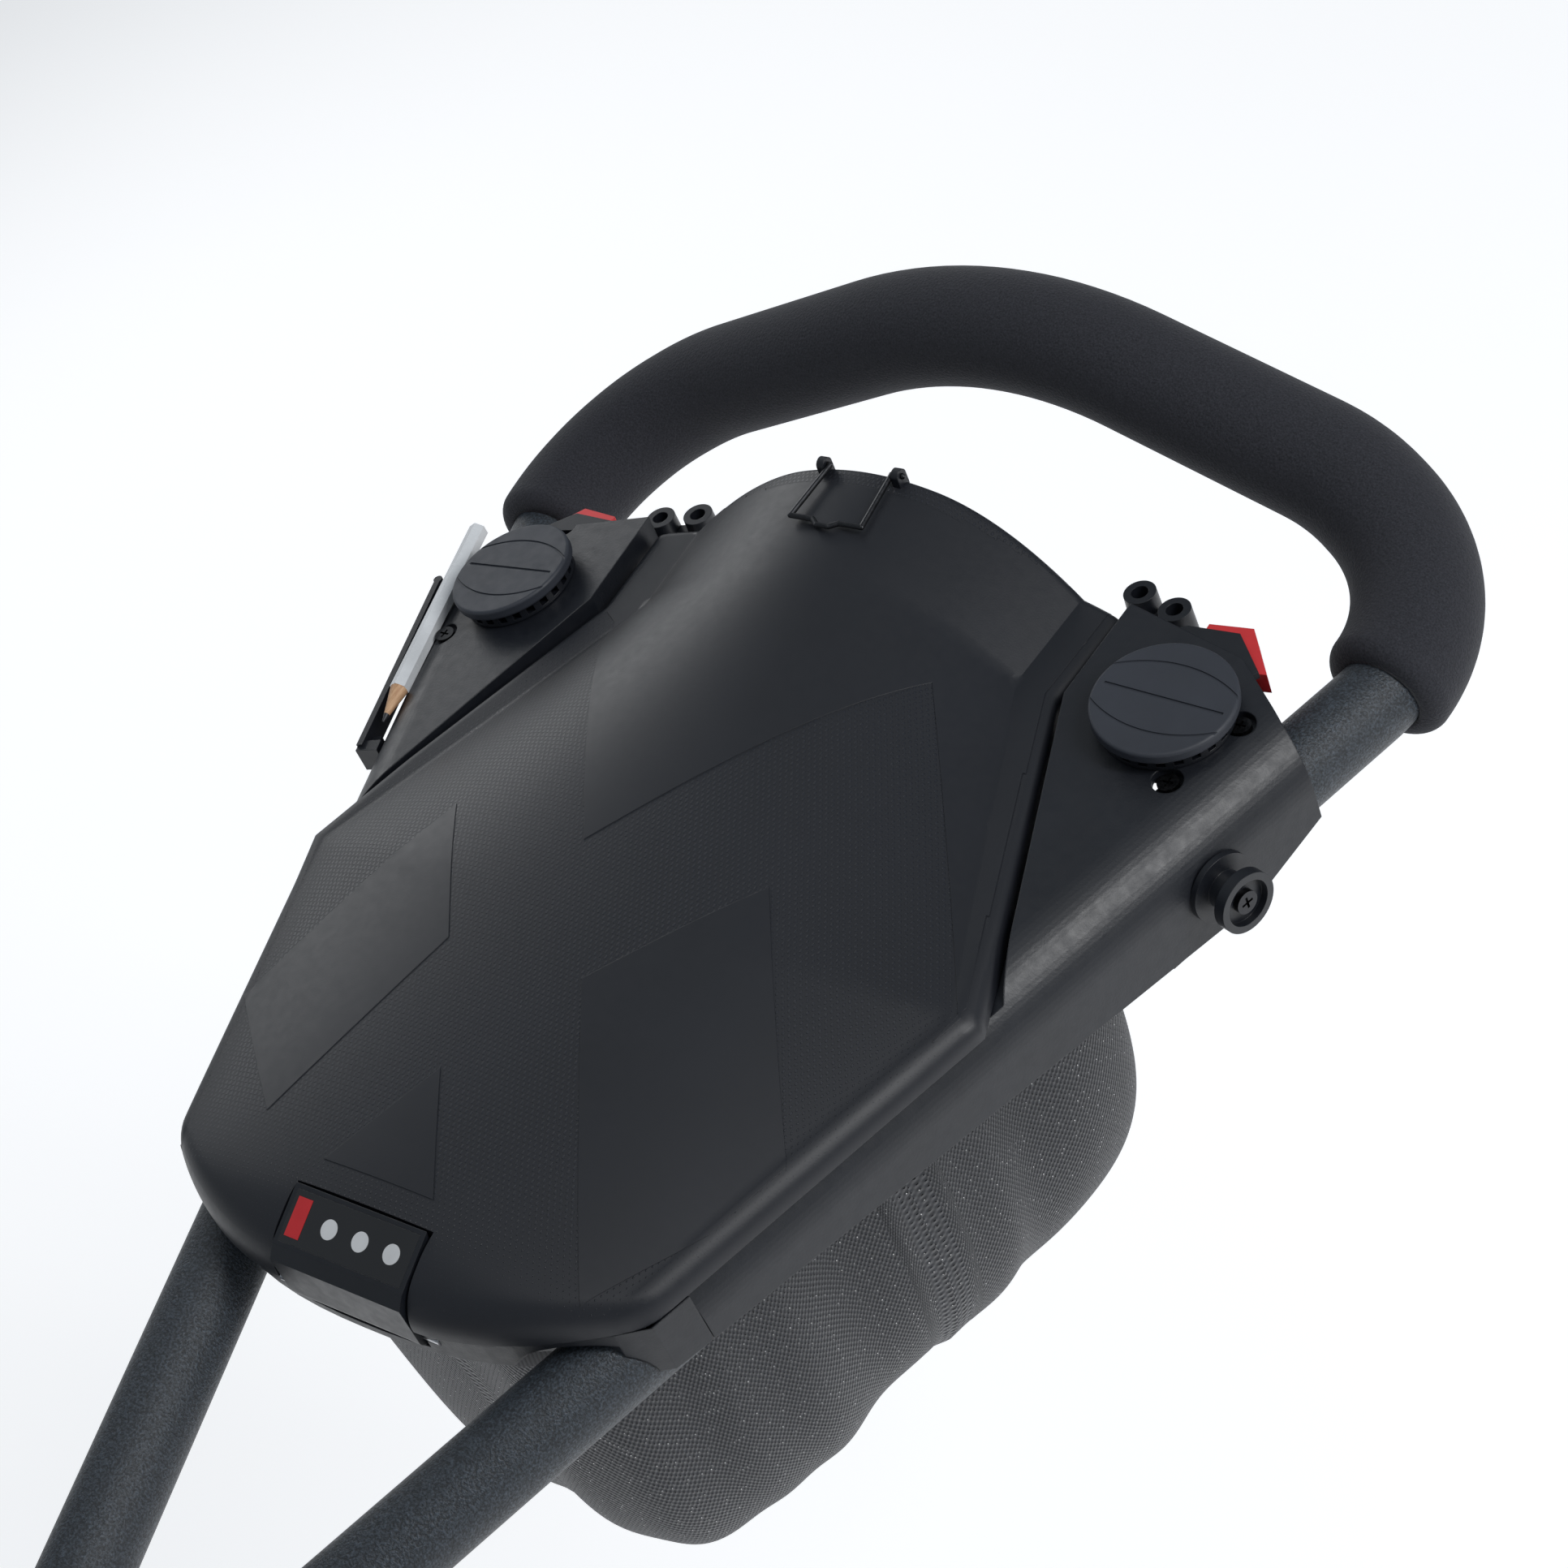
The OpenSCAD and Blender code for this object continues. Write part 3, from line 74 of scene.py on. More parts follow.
# ------------------------------------------------------------------ material tools
class Tree:
    """A material's node tree, with one short call for each kind of step."""

    def __init__(self, name):
        self.material = bpy.data.materials.new(name)
        self.material.use_nodes = True
        self.nt = self.material.node_tree
        self.nt.nodes.clear()
        self.out = self.add("ShaderNodeOutputMaterial")
        self.coords = self.add("ShaderNodeTexCoord").outputs["Object"]

    def add(self, kind, **settings):
        made = self.nt.nodes.new(kind)
        for key, value in settings.items():
            setattr(made, key, value)
        return made

    def link(self, source, target):
        if hasattr(source, "links"):
            self.nt.links.new(source, target)
        else:
            target.default_value = source

    def shader(self, colour, roughness, **sockets):
        bsdf = self.add("ShaderNodeBsdfPrincipled")
        self.link(colour, bsdf.inputs["Base Color"])
        self.link(roughness, bsdf.inputs["Roughness"])
        for key, value in sockets.items():
            self.link(value, bsdf.inputs[key.replace("_", " ")])
        self.link(bsdf.outputs["BSDF"], self.out.inputs["Surface"])
        return bsdf

    def noise(self, scale, detail=3.0, rough=0.5, coords=None):
        made = self.add("ShaderNodeTexNoise")
        made.inputs["Scale"].default_value = scale
        made.inputs["Detail"].default_value = detail
        made.inputs["Roughness"].default_value = rough
        self.link(coords or self.coords, made.inputs["Vector"])
        return made.outputs["Fac"]

    def cells(self, scale, coords=None, feature="F1"):
        made = self.add("ShaderNodeTexVoronoi", feature=feature)
        made.inputs["Scale"].default_value = scale
        self.link(coords or self.coords, made.inputs["Vector"])
        return made.outputs["Distance"]

    def ranged(self, value, low, high, to_low, to_high, smooth=False):
        made = self.add("ShaderNodeMapRange")
        if smooth:
            made.interpolation_type = "SMOOTHSTEP"
        self.link(value, made.inputs["Value"])
        for key, number in zip(("From Min", "From Max", "To Min", "To Max"), (low, high, to_low, to_high)):
            self.link(number, made.inputs[key])
        return made.outputs["Result"]

    def math(self, operation, a, b=0.0):
        made = self.add("ShaderNodeMath", operation=operation)
        self.link(a, made.inputs[0])
        self.link(b, made.inputs[1])
        return made.outputs["Value"]

    def mix(self, share, a, b):
        made = self.add("ShaderNodeMix", data_type="RGBA")
        self.link(share, made.inputs["Factor"])
        self.link((*a, 1.0) if isinstance(a, tuple) else a, made.inputs[6])
        self.link((*b, 1.0) if isinstance(b, tuple) else b, made.inputs[7])
        return made.outputs[2]

    def bump(self, height, distance, strength=1.0, under=None):
        made = self.add("ShaderNodeBump")
        made.inputs["Strength"].default_value = strength
        made.inputs["Distance"].default_value = distance
        self.link(height, made.inputs["Height"])
        if under is not None:
            self.link(under, made.inputs["Normal"])
        return made.outputs["Normal"]

    def rounded(self, radius):
        made = self.add("ShaderNodeBevel", samples=4)
        made.inputs["Radius"].default_value = radius
        return made.outputs["Normal"]


def shade(colour, factor):
    return tuple(c * factor for c in colour)


def moulded(name, colour, roughness, grain_mm=0.6, depth_mm=0.03, edge_mm=0.0, **sockets):
    """Moulded plastic: an even fine grain, a faint cloudiness, and small variations of gloss."""
    t = Tree(name)
    grain = t.noise(1 / (grain_mm * MM), 2.0)
    cloud = t.noise(35.0, 4.0, 0.6)
    tone = t.mix(t.ranged(cloud, 0.3, 0.7, 0.0, 1.0), shade(colour, 0.88), shade(colour, 1.14))
    gloss = t.ranged(t.noise(260.0, 3.0), 0.25, 0.75, roughness - 0.05, roughness + 0.06)
    under = t.rounded(edge_mm * MM) if edge_mm else None
    bsdf = t.shader(tone, gloss, **sockets)
    t.link(t.bump(grain, depth_mm * MM, 1.0, under), bsdf.inputs["Normal"])
    return t.material


# ------------------------------------------------------------------ materials
BLACK = (0.0080, 0.0095, 0.0135)
wing_black = moulded("wing_black", BLACK, 0.42, 0.9, 0.05, edge_mm=0.7)
small_black = moulded("small_black", shade(BLACK, 0.9), 0.38, 0.7, 0.02, edge_mm=0.3)
yoke_black = moulded("yoke_black", BLACK, 0.5, 1.2, 0.06, edge_mm=0.8)
cap_rubber = moulded("cap_rubber", (0.026, 0.030, 0.040), 0.55, 0.5, 0.02, edge_mm=0.35)
red_button = moulded("red_button", (0.62, 0.030, 0.034), 0.36, 0.5, 0.01, edge_mm=0.3)
badge_black = moulded("badge_black", (0.008, 0.008, 0.009), 0.16, 2.0, 0.002, edge_mm=0.15,
                      Coat_Weight=0.6, Coat_Roughness=0.08)
badge_red = moulded("badge_red", (0.50, 0.022, 0.026), 0.32, 0.6, 0.005)
badge_pale = moulded("badge_pale", (0.62, 0.63, 0.64), 0.35, 0.6, 0.005)
bush_plastic = moulded("bush_plastic", (0.055, 0.057, 0.062), 0.45, 0.8, 0.02)
pencil_white = moulded("pencil_white", (0.66, 0.68, 0.70), 0.26, 3.0, 0.03,
                       Coat_Weight=0.5, Coat_Roughness=0.12)
graphite = moulded("graphite", (0.035, 0.036, 0.040), 0.40, 0.4, 0.02, Metallic=0.35)


def metal(name, colour, roughness, brush=900.0):
    t = Tree(name)
    wear = t.noise(brush, 5.0, 0.6)
    tone = t.mix(t.ranged(wear, 0.3, 0.7, 0.0, 1.0), shade(colour, 0.8), colour)
    bsdf = t.shader(tone, t.ranged(wear, 0.3, 0.7, roughness - 0.08, roughness + 0.1), Metallic=1.0)
    t.link(t.bump(wear, 0.01 * MM), bsdf.inputs["Normal"])
    return t.material


zinc_steel = metal("zinc_steel", (0.55, 0.56, 0.58), 0.32)
black_steel = metal("black_steel", (0.055, 0.056, 0.060), 0.36)


def powder_coat():
    """Textured powder coat: fine pimples, with painted highlights: bluish speckles painted lighter on the
    pimple tops, standing in for the glints where they catch the light.
    """
    t = Tree("powder_coat")
    pimple = t.noise(1250.0, 3.0, 0.62)
    patch = t.noise(420.0, 3.0)
    painted_glint = t.ranged(pimple, 0.42, 0.70, 0.0, 1.0)
    # painted highlight: the pimple tops are painted lighter and bluish, as if they caught the light
    tone = t.mix(painted_glint, (0.010, 0.0125, 0.016), (0.060, 0.077, 0.098))
    tone = t.mix(t.ranged(patch, 0.3, 0.7, 0.0, 0.35), tone, (0.018, 0.022, 0.027))
    bsdf = t.shader(tone, t.ranged(pimple, 0.35, 0.7, 0.52, 0.36))
    t.link(t.bump(pimple, 0.45 * MM, 0.8), bsdf.inputs["Normal"])
    return t.material


def foam():
    """Closed-cell foam with a buffed skin: soft pits, no gloss."""
    t = Tree("foam")
    pit = t.cells(900.0)
    fuzz = t.noise(1500.0, 4.0, 0.7)
    tone = t.mix(t.ranged(fuzz, 0.3, 0.7, 0.0, 1.0), (0.0135, 0.0140, 0.0175), (0.0390, 0.0400, 0.0490))
    bsdf = t.shader(tone, 0.93, Sheen_Weight=0.10, Sheen_Roughness=0.45, Specular_IOR_Level=0.28)
    first = t.bump(pit, 0.35 * MM, 0.5)
    t.link(t.bump(fuzz, 0.30 * MM, 0.6, first), bsdf.inputs["Normal"])
    return t.material


def pencil_wood():
    t = Tree("pencil_wood")
    squeeze = t.add("ShaderNodeMapping")
    squeeze.inputs["Scale"].default_value = (900.0, 120.0, 900.0)
    t.link(t.coords, squeeze.inputs["Vector"])
    fibre = t.noise(1.0, 4.0, 0.6, squeeze.outputs["Vector"])
    tone = t.mix(t.ranged(fibre, 0.3, 0.7, 0.0, 1.0), (0.42, 0.22, 0.11), (0.68, 0.44, 0.26))
    bsdf = t.shader(tone, 0.6)
    t.link(t.bump(fibre, 0.1 * MM), bsdf.inputs["Normal"])
    return t.material


LID_BLACK = (0.0085, 0.0097, 0.0138)
DOT_X_MM = 2.1
DOT_Y_MM = 3.6


def lid_surface(name, dotted):
    """The lid's satin skin. The dotted kind has low round dots in staggered rows, as the mould made them."""
    t = Tree(name)
    cloud = t.noise(22.0, 3.0, 0.5)
    tone = t.mix(t.ranged(cloud, 0.3, 0.7, 0.0, 1.0), shade(LID_BLACK, 0.9), shade(LID_BLACK, 1.1))
    grain = t.noise(1800.0, 2.0)
    gloss = t.ranged(t.noise(300.0, 2.0), 0.25, 0.75, 0.40, 0.46)
    if not dotted:
        bsdf = t.shader(tone, gloss)
        t.link(t.bump(grain, 0.02 * MM, 1.0, t.rounded(0.3 * MM)), bsdf.inputs["Normal"])
        return t.material
    parts = t.add("ShaderNodeSeparateXYZ")
    t.link(t.coords, parts.inputs["Vector"])
    wave_x = t.math("COSINE", t.math("MULTIPLY", parts.outputs["X"], 2 * math.pi / (DOT_X_MM * MM)))
    wave_y = t.math("COSINE", t.math("MULTIPLY", parts.outputs["Y"], 2 * math.pi / (DOT_Y_MM * MM)))
    wave = t.math("MULTIPLY", wave_x, wave_y)
    size = t.add("ShaderNodeAttribute", attribute_name="dot_size").outputs["Fac"]
    limit = t.ranged(size, 0.0, 1.0, 0.95, 0.05)
    upper = t.math("ADD", limit, 0.22)
    dot = t.ranged(wave, limit, upper, 0.0, 1.0, smooth=True)
    tone = t.mix(dot, tone, shade(LID_BLACK, 1.5))
    bsdf = t.shader(tone, t.mix(dot, (0.48, 0.48, 0.48), (0.38, 0.38, 0.38)))
    first = t.bump(grain, 0.02 * MM)
    t.link(t.bump(dot, 0.30 * MM, 1.0, first), bsdf.inputs["Normal"])
    return t.material


NET_X_MM = 2.0
NET_Y_MM = 2.9


def net_fabric():
    """Warp-knit net: staggered round holes between rounded, slightly shiny yarns."""
    t = Tree("net_fabric")
    flat = t.add("ShaderNodeUVMap", uv_map="cloth").outputs["UV"]
    parts = t.add("ShaderNodeSeparateXYZ")
    t.link(flat, parts.inputs["Vector"])
    wave_x = t.math("COSINE", t.math("MULTIPLY", parts.outputs["X"], 2 * math.pi / (NET_X_MM * MM)))
    wave_y = t.math("COSINE", t.math("MULTIPLY", parts.outputs["Y"], 2 * math.pi / (NET_Y_MM * MM)))
    wave = t.math("MULTIPLY", wave_x, wave_y)
    yarn = t.noise(2600.0, 3.0, 0.6)
    rib = t.ranged(wave_x, -1.0, 1.0, 0.0, 1.0)
    tone = t.mix(t.ranged(yarn, 0.3, 0.7, 0.0, 1.0), (0.004, 0.0045, 0.006), (0.022, 0.024, 0.030))
    tone = t.mix(t.math("MULTIPLY", rib, 0.35), tone, (0.030, 0.033, 0.042))
    solid = t.ranged(wave, 0.80, 0.92, 1.0, 0.0)
    bsdf = t.shader(tone, 0.52, Alpha=solid, Sheen_Weight=0.15, Sheen_Roughness=0.4)
    first = t.bump(yarn, 0.08 * MM, 0.6)
    t.link(t.bump(t.math("MULTIPLY", wave, -1.0), 0.35 * MM, 0.8, first), bsdf.inputs["Normal"])
    return t.material


def webbing():
    """Woven binding tape along the net's edges."""
    t = Tree("webbing")
    flat = t.add("ShaderNodeUVMap", uv_map="cloth").outputs["UV"]
    weave = t.add("ShaderNodeTexWave", wave_type="BANDS", bands_direction="DIAGONAL")
    weave.inputs["Scale"].default_value = 450.0
    weave.inputs["Distortion"].default_value = 1.5
    t.link(flat, weave.inputs["Vector"])
    tone = t.mix(weave.outputs["Fac"], (0.010, 0.010, 0.012), (0.030, 0.031, 0.035))
    bsdf = t.shader(tone, 0.8, Sheen_Weight=0.1)
    t.link(t.bump(weave.outputs["Fac"], 0.15 * MM), bsdf.inputs["Normal"])
    return t.material


powder = powder_coat()
foam_black = foam()
wood = pencil_wood()
lid_smooth = lid_surface("lid_smooth", False)
lid_dotted = lid_surface("lid_dotted", True)
net = net_fabric()
tape = webbing()


# ------------------------------------------------------------------ mesh tools
def make_object(name, points, faces, material, smooth=True):
    mesh = bpy.data.meshes.new(name)
    mesh.from_pydata([tuple(float(c) for c in p) for p in points], [], faces)
    mesh.validate()
    made = bpy.data.objects.new(name, mesh)
    bpy.context.scene.collection.objects.link(made)
    mesh.materials.append(material)
    if smooth:
        mesh.polygons.foreach_set("use_smooth", [True] * len(mesh.polygons))
    return made


def place(obj, body, slot, *replaced):
    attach(obj, body)
    if replaced:
        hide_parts(*replaced)
    return obj


def fix_normals(obj):
    bm = bmesh.new()
    bm.from_mesh(obj.data)
    bmesh.ops.recalc_face_normals(bm, faces=bm.faces)
    bm.to_mesh(obj.data)
    bm.free()


def bevel(obj, width_mm, angle=40.0, segments=2):
    mod = obj.modifiers.new("edges", "BEVEL")
    mod.width = width_mm * MM
    mod.segments = segments
    mod.limit_method = "ANGLE"
    mod.angle_limit = math.radians(angle)
    mod.use_clamp_overlap = True
    mod.harden_normals = False
    return mod


# ------------------------------------------------------------------ handle: tube and foam
SPLAY = math.radians(18.3)
LEG_START_MM = 52.0
CORNER_MM = (588.0 * math.tan(SPLAY), 588.0, 0.0)
SHOULDER_MM = (CORNER_MM[0] - 56.4, CORNER_MM[1] + 31.7, 22.2)
CROWN_MM = (0.0, SHOULDER_MM[1] + 15.6, SHOULDER_MM[2] + 45.5)
TUBE_R_MM = 14.0
TUBE_WALL_MM = 1.5
GRIP_R_MM = 21.7
GRIP_START = math.radians(10)


def mirrored(p):
    return (-p[0], p[1], p[2])


FOOT_MM = (LEG_START_MM * math.tan(SPLAY), LEG_START_MM, 0.0)
PATH = [FOOT_MM, CORNER_MM, SHOULDER_MM, CROWN_MM,
        mirrored(SHOULDER_MM), mirrored(CORNER_MM), mirrored(FOOT_MM)]
BEND_R = [0, 62, 72, 173, 72, 62, 0]


def bent_line(step=math.radians(2.0)):
    """Points and directions along the rounded path, in millimetres, each tagged with its bend."""
    points = [Vector(p) for p in PATH]
    stops = [(points[0], (points[1] - points[0]).normalized(), 0, 0.0)]
    for i in range(1, len(points) - 1):
        ahead = (points[i] - points[i - 1]).normalized()
        after = (points[i + 1] - points[i]).normalized()
        angle = ahead.angle(after)
        inward = (after - ahead * ahead.dot(after)).normalized()
        centre = points[i] - ahead * BEND_R[i] * math.tan(angle / 2) + inward * BEND_R[i]
        count = max(4, round(angle / step))
        for k in range(count + 1):
            a = angle * k / count
            place_ = centre + BEND_R[i] * (ahead * math.sin(a) - inward * math.cos(a))
            stops.append((place_, ahead * math.cos(a) + inward * math.sin(a), i, a if i == 1 else angle - a))
    stops.append((points[-1], (points[-1] - points[-2]).normalized(), len(points) - 1, 0.0))
    return stops


def swept(name, stops, radii, material, sides=72):
    """A closed skin round the stops; radii gives one radius for each stop, in millimetres."""
    points, faces = [], []
    for (centre, ahead), radius in zip(stops, radii):
        side = ahead.cross(Vector((0, 0, 1))).normalized()
        over = side.cross(ahead)
        for k in range(sides):
            a = 2 * math.pi * k / sides
            points.append((centre + radius * (side * math.cos(a) + over * math.sin(a))) * MM)
    rings = len(stops)
    for j in range(rings - 1):
        for k in range(sides):
            m = (k + 1) % sides
            faces.append((j * sides + k, j * sides + m, (j + 1) * sides + m, (j + 1) * sides + k))
    return make_object(name, points, faces, material)


def pipe(name, stops, radii, bore_mm, material):
    """swept, with a bore, so its ends show their wall."""
    outside = [s[:2] for s in stops]
    back = list(reversed(outside))
    loop = outside + back
    sizes = list(radii) + [bore_mm] * len(back)
    obj = swept(name, loop + [loop[0]], sizes + [radii[0]], material)
    bm = bmesh.new()
    bm.from_mesh(obj.data)
    bmesh.ops.remove_doubles(bm, verts=bm.verts, dist=1e-7)
    bmesh.ops.recalc_face_normals(bm, faces=bm.faces)
    bm.to_mesh(obj.data)
    bm.free()
    return obj


line = bent_line()
tube = pipe("frame_tube", line, [TUBE_R_MM] * len(line), TUBE_R_MM - TUBE_WALL_MM, powder)
bevel(tube, 0.4, 50)
place(tube, "frame", "powder_coat", "handle_tube")


def foam_stops():
    inside = [s[:2] for s in line if not (s[2] in (0, 6) or (s[2] in (1, 5) and s[3] < GRIP_START - 1e-6))]
    first, last = inside[0], inside[-1]
    ends, radii = [], []
    for k in range(12, 0, -1):
        a = math.radians(90 * k / 12)
        ends.append((first[0] - first[1] * 6 * math.sin(a), first[1]))
        radii.append(GRIP_R_MM - 6 * (1 - math.cos(a)))
    final = [(last[0] + last[1] * 6 * math.sin(math.radians(90 * k / 12)), last[1]) for k in range(1, 13)]
    return ends + inside + final, radii + [GRIP_R_MM] * len(inside) + radii[::-1]


grip_line, grip_radii = foam_stops()
grip = pipe("foam_sleeve", grip_line, grip_radii, TUBE_R_MM + 0.02, foam_black)
place(grip, "frame", "foam", "foam_grip")


# ------------------------------------------------------------------ lid
LID_FRONT, LID_REAR = 214.0, 545.0
FRONT_SWEEP, REAR_SWEEP = 28.0, 14.0
FLANGE_Z, CREST_FRONT_Z, CREST_REAR_Z, RIM_Z = 31.0, 41.0, 66.5, 22.0
LID_WALL, EDGE_R, SEAM_R, CREASE_IN = 2.8, 9.0, 4.0, 17.5
NOTCH_HALF, NOTCH_DEPTH = 28.5, 23.2
DOME_U = 0.8
NOTCH_U = DOME_U * 4 / 12


def row(x, y):
    """A point of the right leg's frame, in the row frame."""
    return x * math.cos(SPLAY) + y * math.sin(SPLAY), y * math.cos(SPLAY) - x * math.sin(SPLAY)


FRONT_CORNER, SIDE_CORNER = row(18, 261), row(18.6, 391)
KINK, REAR_CORNER = row(-62, 497), row(-72, 535.5)


def mix(a, b, t):
    return a + (b - a) * t


def lid_side(y):
    for (x0, y0), (x1, y1) in ((FRONT_CORNER, SIDE_CORNER), (SIDE_CORNER, KINK), (KINK, REAR_CORNER)):
        if y < y1 or (x1, y1) == REAR_CORNER:
            return mix(x0, x1, (y - y0) / (y1 - y0))


def dome_side(y):
    if y < SIDE_CORNER[1]:
        return lid_side(y) - EDGE_R
    return lid_side(y) - mix(EDGE_R, CREASE_IN, min(1.0, (y - SIDE_CORNER[1]) / (KINK[1] - SIDE_CORNER[1])))


def side_round(y):
    return mix(EDGE_R, SEAM_R, max(0.0, min(1.0, (y - SIDE_CORNER[1] + 20) / 60)))


def edge_drop(gap, r):
    return 0.0 if gap >= r else r - math.sqrt(max(0.0, r * r - (r - max(gap, 0.0)) ** 2))


def lid_point(u, v, inset):
    y_side = mix(FRONT_CORNER[1], REAR_CORNER[1], v)
    half, dome_edge, a = lid_side(y_side), dome_side(y_side), abs(u)
    if a <= NOTCH_U:
        reach = a / NOTCH_U * NOTCH_HALF
    elif a <= DOME_U:
        reach = mix(NOTCH_HALF, dome_edge, (a - NOTCH_U) / (DOME_U - NOTCH_U))
    else:
        reach = mix(dome_edge, half, (a - DOME_U) / (1 - DOME_U))
    if a <= DOME_U:
        side_gap, x = half - reach, reach
    else:
        side_gap = (half - reach) * (half - inset - dome_edge) / (half - dome_edge)
        x = half - inset - side_gap
    bow = max(0.0, (reach - NOTCH_HALF) / (half - NOTCH_HALF)) ** 1.8
    y_front = LID_FRONT + inset + FRONT_SWEEP * bow
    y_rear = LID_REAR - inset - REAR_SWEEP * bow
    notch_v = NOTCH_DEPTH / (LID_REAR - LID_FRONT)
    y_notch = mix(y_front - inset, y_rear + inset, notch_v)
    if v <= notch_v:
        y = mix(y_front, y_notch, v / notch_v)
    else:
        y = mix(y_notch, y_rear, (v - notch_v) / (1 - notch_v))
    crest = mix(CREST_FRONT_Z, CREST_REAR_Z, (y - LID_FRONT) / (LID_REAR - LID_FRONT))
    d = min(1.0, reach / dome_edge)
    dome = FLANGE_Z + (crest - FLANGE_Z) * (1 - d * d)
    nose = FLANGE_Z + 1 + 0.55 * (y - y_front)
    top = (dome + nose - math.sqrt((dome - nose) ** 2 + 9)) / 2 - inset
    drop = edge_drop(side_gap, side_round(y_side) - inset)
    drop += edge_drop(y - y_front, EDGE_R - inset) + edge_drop(y_rear - y, 3)
    z = RIM_Z if v in (0, 1) or a == 1 else max(RIM_Z, top - drop)
    return Vector((math.copysign(x, u), y, z)) * MM


# Smooth raised panels of the lid, as corners in the row frame, in millimetres
PANELS = [
    [(-87, 485), (-10, 376), (63, 475), (134, 365), (117, 293),
     (160, 293), (160, 600), (-160, 600), (-112, 500)],
    [(22, 329), (60.5, 380), (117.5, 293), (82, 236)],
    [(-75, 382), (-35.5, 330), (-60, 256), (-112, 296)],
    [(-5, 286), (22, 246), (-24, 246)],
]
PANEL_RISE_MM = 0.22


def within(x, y, corners):
    """True if the point lies inside the polygon."""
    inside = False
    for (x0, y0), (x1, y1) in zip(corners, corners[1:] + corners[:1]):
        if (y0 > y) != (y1 > y) and x < x0 + (y - y0) / (y1 - y0) * (x1 - x0):
            inside = not inside
    return inside


def build_lid():
    half_u = [DOME_U * k / 48 for k in range(49)]
    half_u += [mix(DOME_U, 1.0, math.sin(math.pi / 2 * k / 14)) for k in range(1, 15)]
    us = [-u for u in half_u[:0:-1]] + half_u
    notch_v = NOTCH_DEPTH / (LID_REAR - LID_FRONT)
    corner_v = (SIDE_CORNER[1] - FRONT_CORNER[1]) / (REAR_CORNER[1] - FRONT_CORNER[1])
    kink_v = (KINK[1] - FRONT_CORNER[1]) / (REAR_CORNER[1] - FRONT_CORNER[1])
    vs = [notch_v * (1 - math.cos(math.pi / 2 * k / 14)) for k in range(15)]
    vs += [mix(notch_v, corner_v, k / 24) for k in range(1, 25)]
    vs += [mix(corner_v, kink_v, k / 34) for k in range(1, 35)]
    vs += [mix(kink_v, 1.0, math.sin(math.pi / 2 * k / 26)) for k in range(1, 27)]
    nu, nv, notch_row = len(us), len(vs), 14
    left, right = 62 - 16, 62 + 16
    points = [lid_point(u, v, 0.0) for v in vs for u in us]
    points += [lid_point(u, v, LID_WALL) for v in vs for u in us]
    count = nu * nv
    top = []
    for j in range(nv - 1):
        for i in range(nu - 1):
            if j >= notch_row or i < left or i >= right:
                a = j * nu + i
                top.append((a, a + 1, a + nu + 1, a + nu))
    low = [tuple(count + p for p in reversed(f)) for f in top]
    loop = list(range(left + 1))
    loop += [j * nu + left for j in range(1, notch_row + 1)]
    loop += [notch_row * nu + i for i in range(left + 1, right + 1)]
    loop += [j * nu + right for j in range(notch_row - 1, -1, -1)]
    loop += list(range(right + 1, nu))
    loop += [j * nu + nu - 1 for j in range(1, nv)]
    loop += [(nv - 1) * nu + i for i in range(nu - 2, -1, -1)]
    loop += [j * nu for j in range(nv - 2, 0, -1)]
    rim = [(a, count + a, count + b, b) for a, b in zip(loop, loop[1:] + loop[:1])]
    obj = make_object("lid_shell", points, top + low + rim, lid_smooth)
    obj.data.materials.append(lid_dotted)
    bm = bmesh.new()
    bm.from_mesh(obj.data)
    outer = bm.faces.layers.int.new("outer")
    bm.faces.ensure_lookup_table()
    for k, face in enumerate(bm.faces):
        face[outer] = 1 if k < len(top) else 0
    for corners in PANELS:
        for (x0, y0), (x1, y1) in zip(corners, corners[1:] + corners[:1]):
            if max(abs(x0), abs(x1)) > 140 or max(y0, y1) > 560:
                continue
            skin = [f for f in bm.faces if f[outer]]
            parts = set(skin)
            for f in skin:
                parts.update(f.edges)
                parts.update(f.verts)
            bmesh.ops.bisect_plane(
                bm, geom=list(parts), dist=1e-7,
                plane_co=Vector((x0, y0, 0)) * MM, plane_no=Vector((y1 - y0, x0 - x1, 0)).normalized())
    for corners in PANELS:
        chosen = []
        for f in bm.faces:
            if not f[outer] or f.normal.z < 0.5:
                continue
            c = f.calc_center_median() / MM
            edge = lid_side(min(max(c.y, FRONT_CORNER[1]), REAR_CORNER[1])) - abs(c.x)
            if within(c.x, c.y, corners) and edge > 5 and c.y < LID_REAR - 8:
                chosen.append(f)
        raised = bmesh.ops.extrude_face_region(bm, geom=chosen)["geom"]
        for item in raised:
            if isinstance(item, bmesh.types.BMVert):
                item.co.z += PANEL_RISE_MM * MM
            elif isinstance(item, bmesh.types.BMFace):
                item[outer] = 2
        bmesh.ops.delete(bm, geom=chosen, context="FACES")
    bm.faces.ensure_lookup_table()
    for f in bm.faces:
        c = f.calc_center_median() / MM
        reach = abs(c.x) / lid_side(min(max(c.y, FRONT_CORNER[1]), REAR_CORNER[1]))
        f.material_index = 1 if f[outer] == 1 and f.normal.z > 0.6 and reach < 0.985 else 0
    sizes = bm.verts.layers.float.new("dot_size")
    for v in bm.verts:
        x, y = v.co.x / MM, v.co.y / MM
        edge = lid_side(min(max(y, FRONT_CORNER[1]), REAR_CORNER[1])) - abs(x)
        fade = min(1.0, max(0.0, (edge - 4) / 14)) * min(1.0, max(0.0, (y - 232) / 26))
        v[sizes] = fade * mix(0.95, 0.62, min(1.0, max(0.0, (x + 60) / 150)))
    bm.to_mesh(obj.data)
    bm.free()
    return obj


lid = build_lid()
lid.data.set_sharp_from_angle(angle=math.radians(38))
place(lid, "lid", "lid_plastic", "lid")


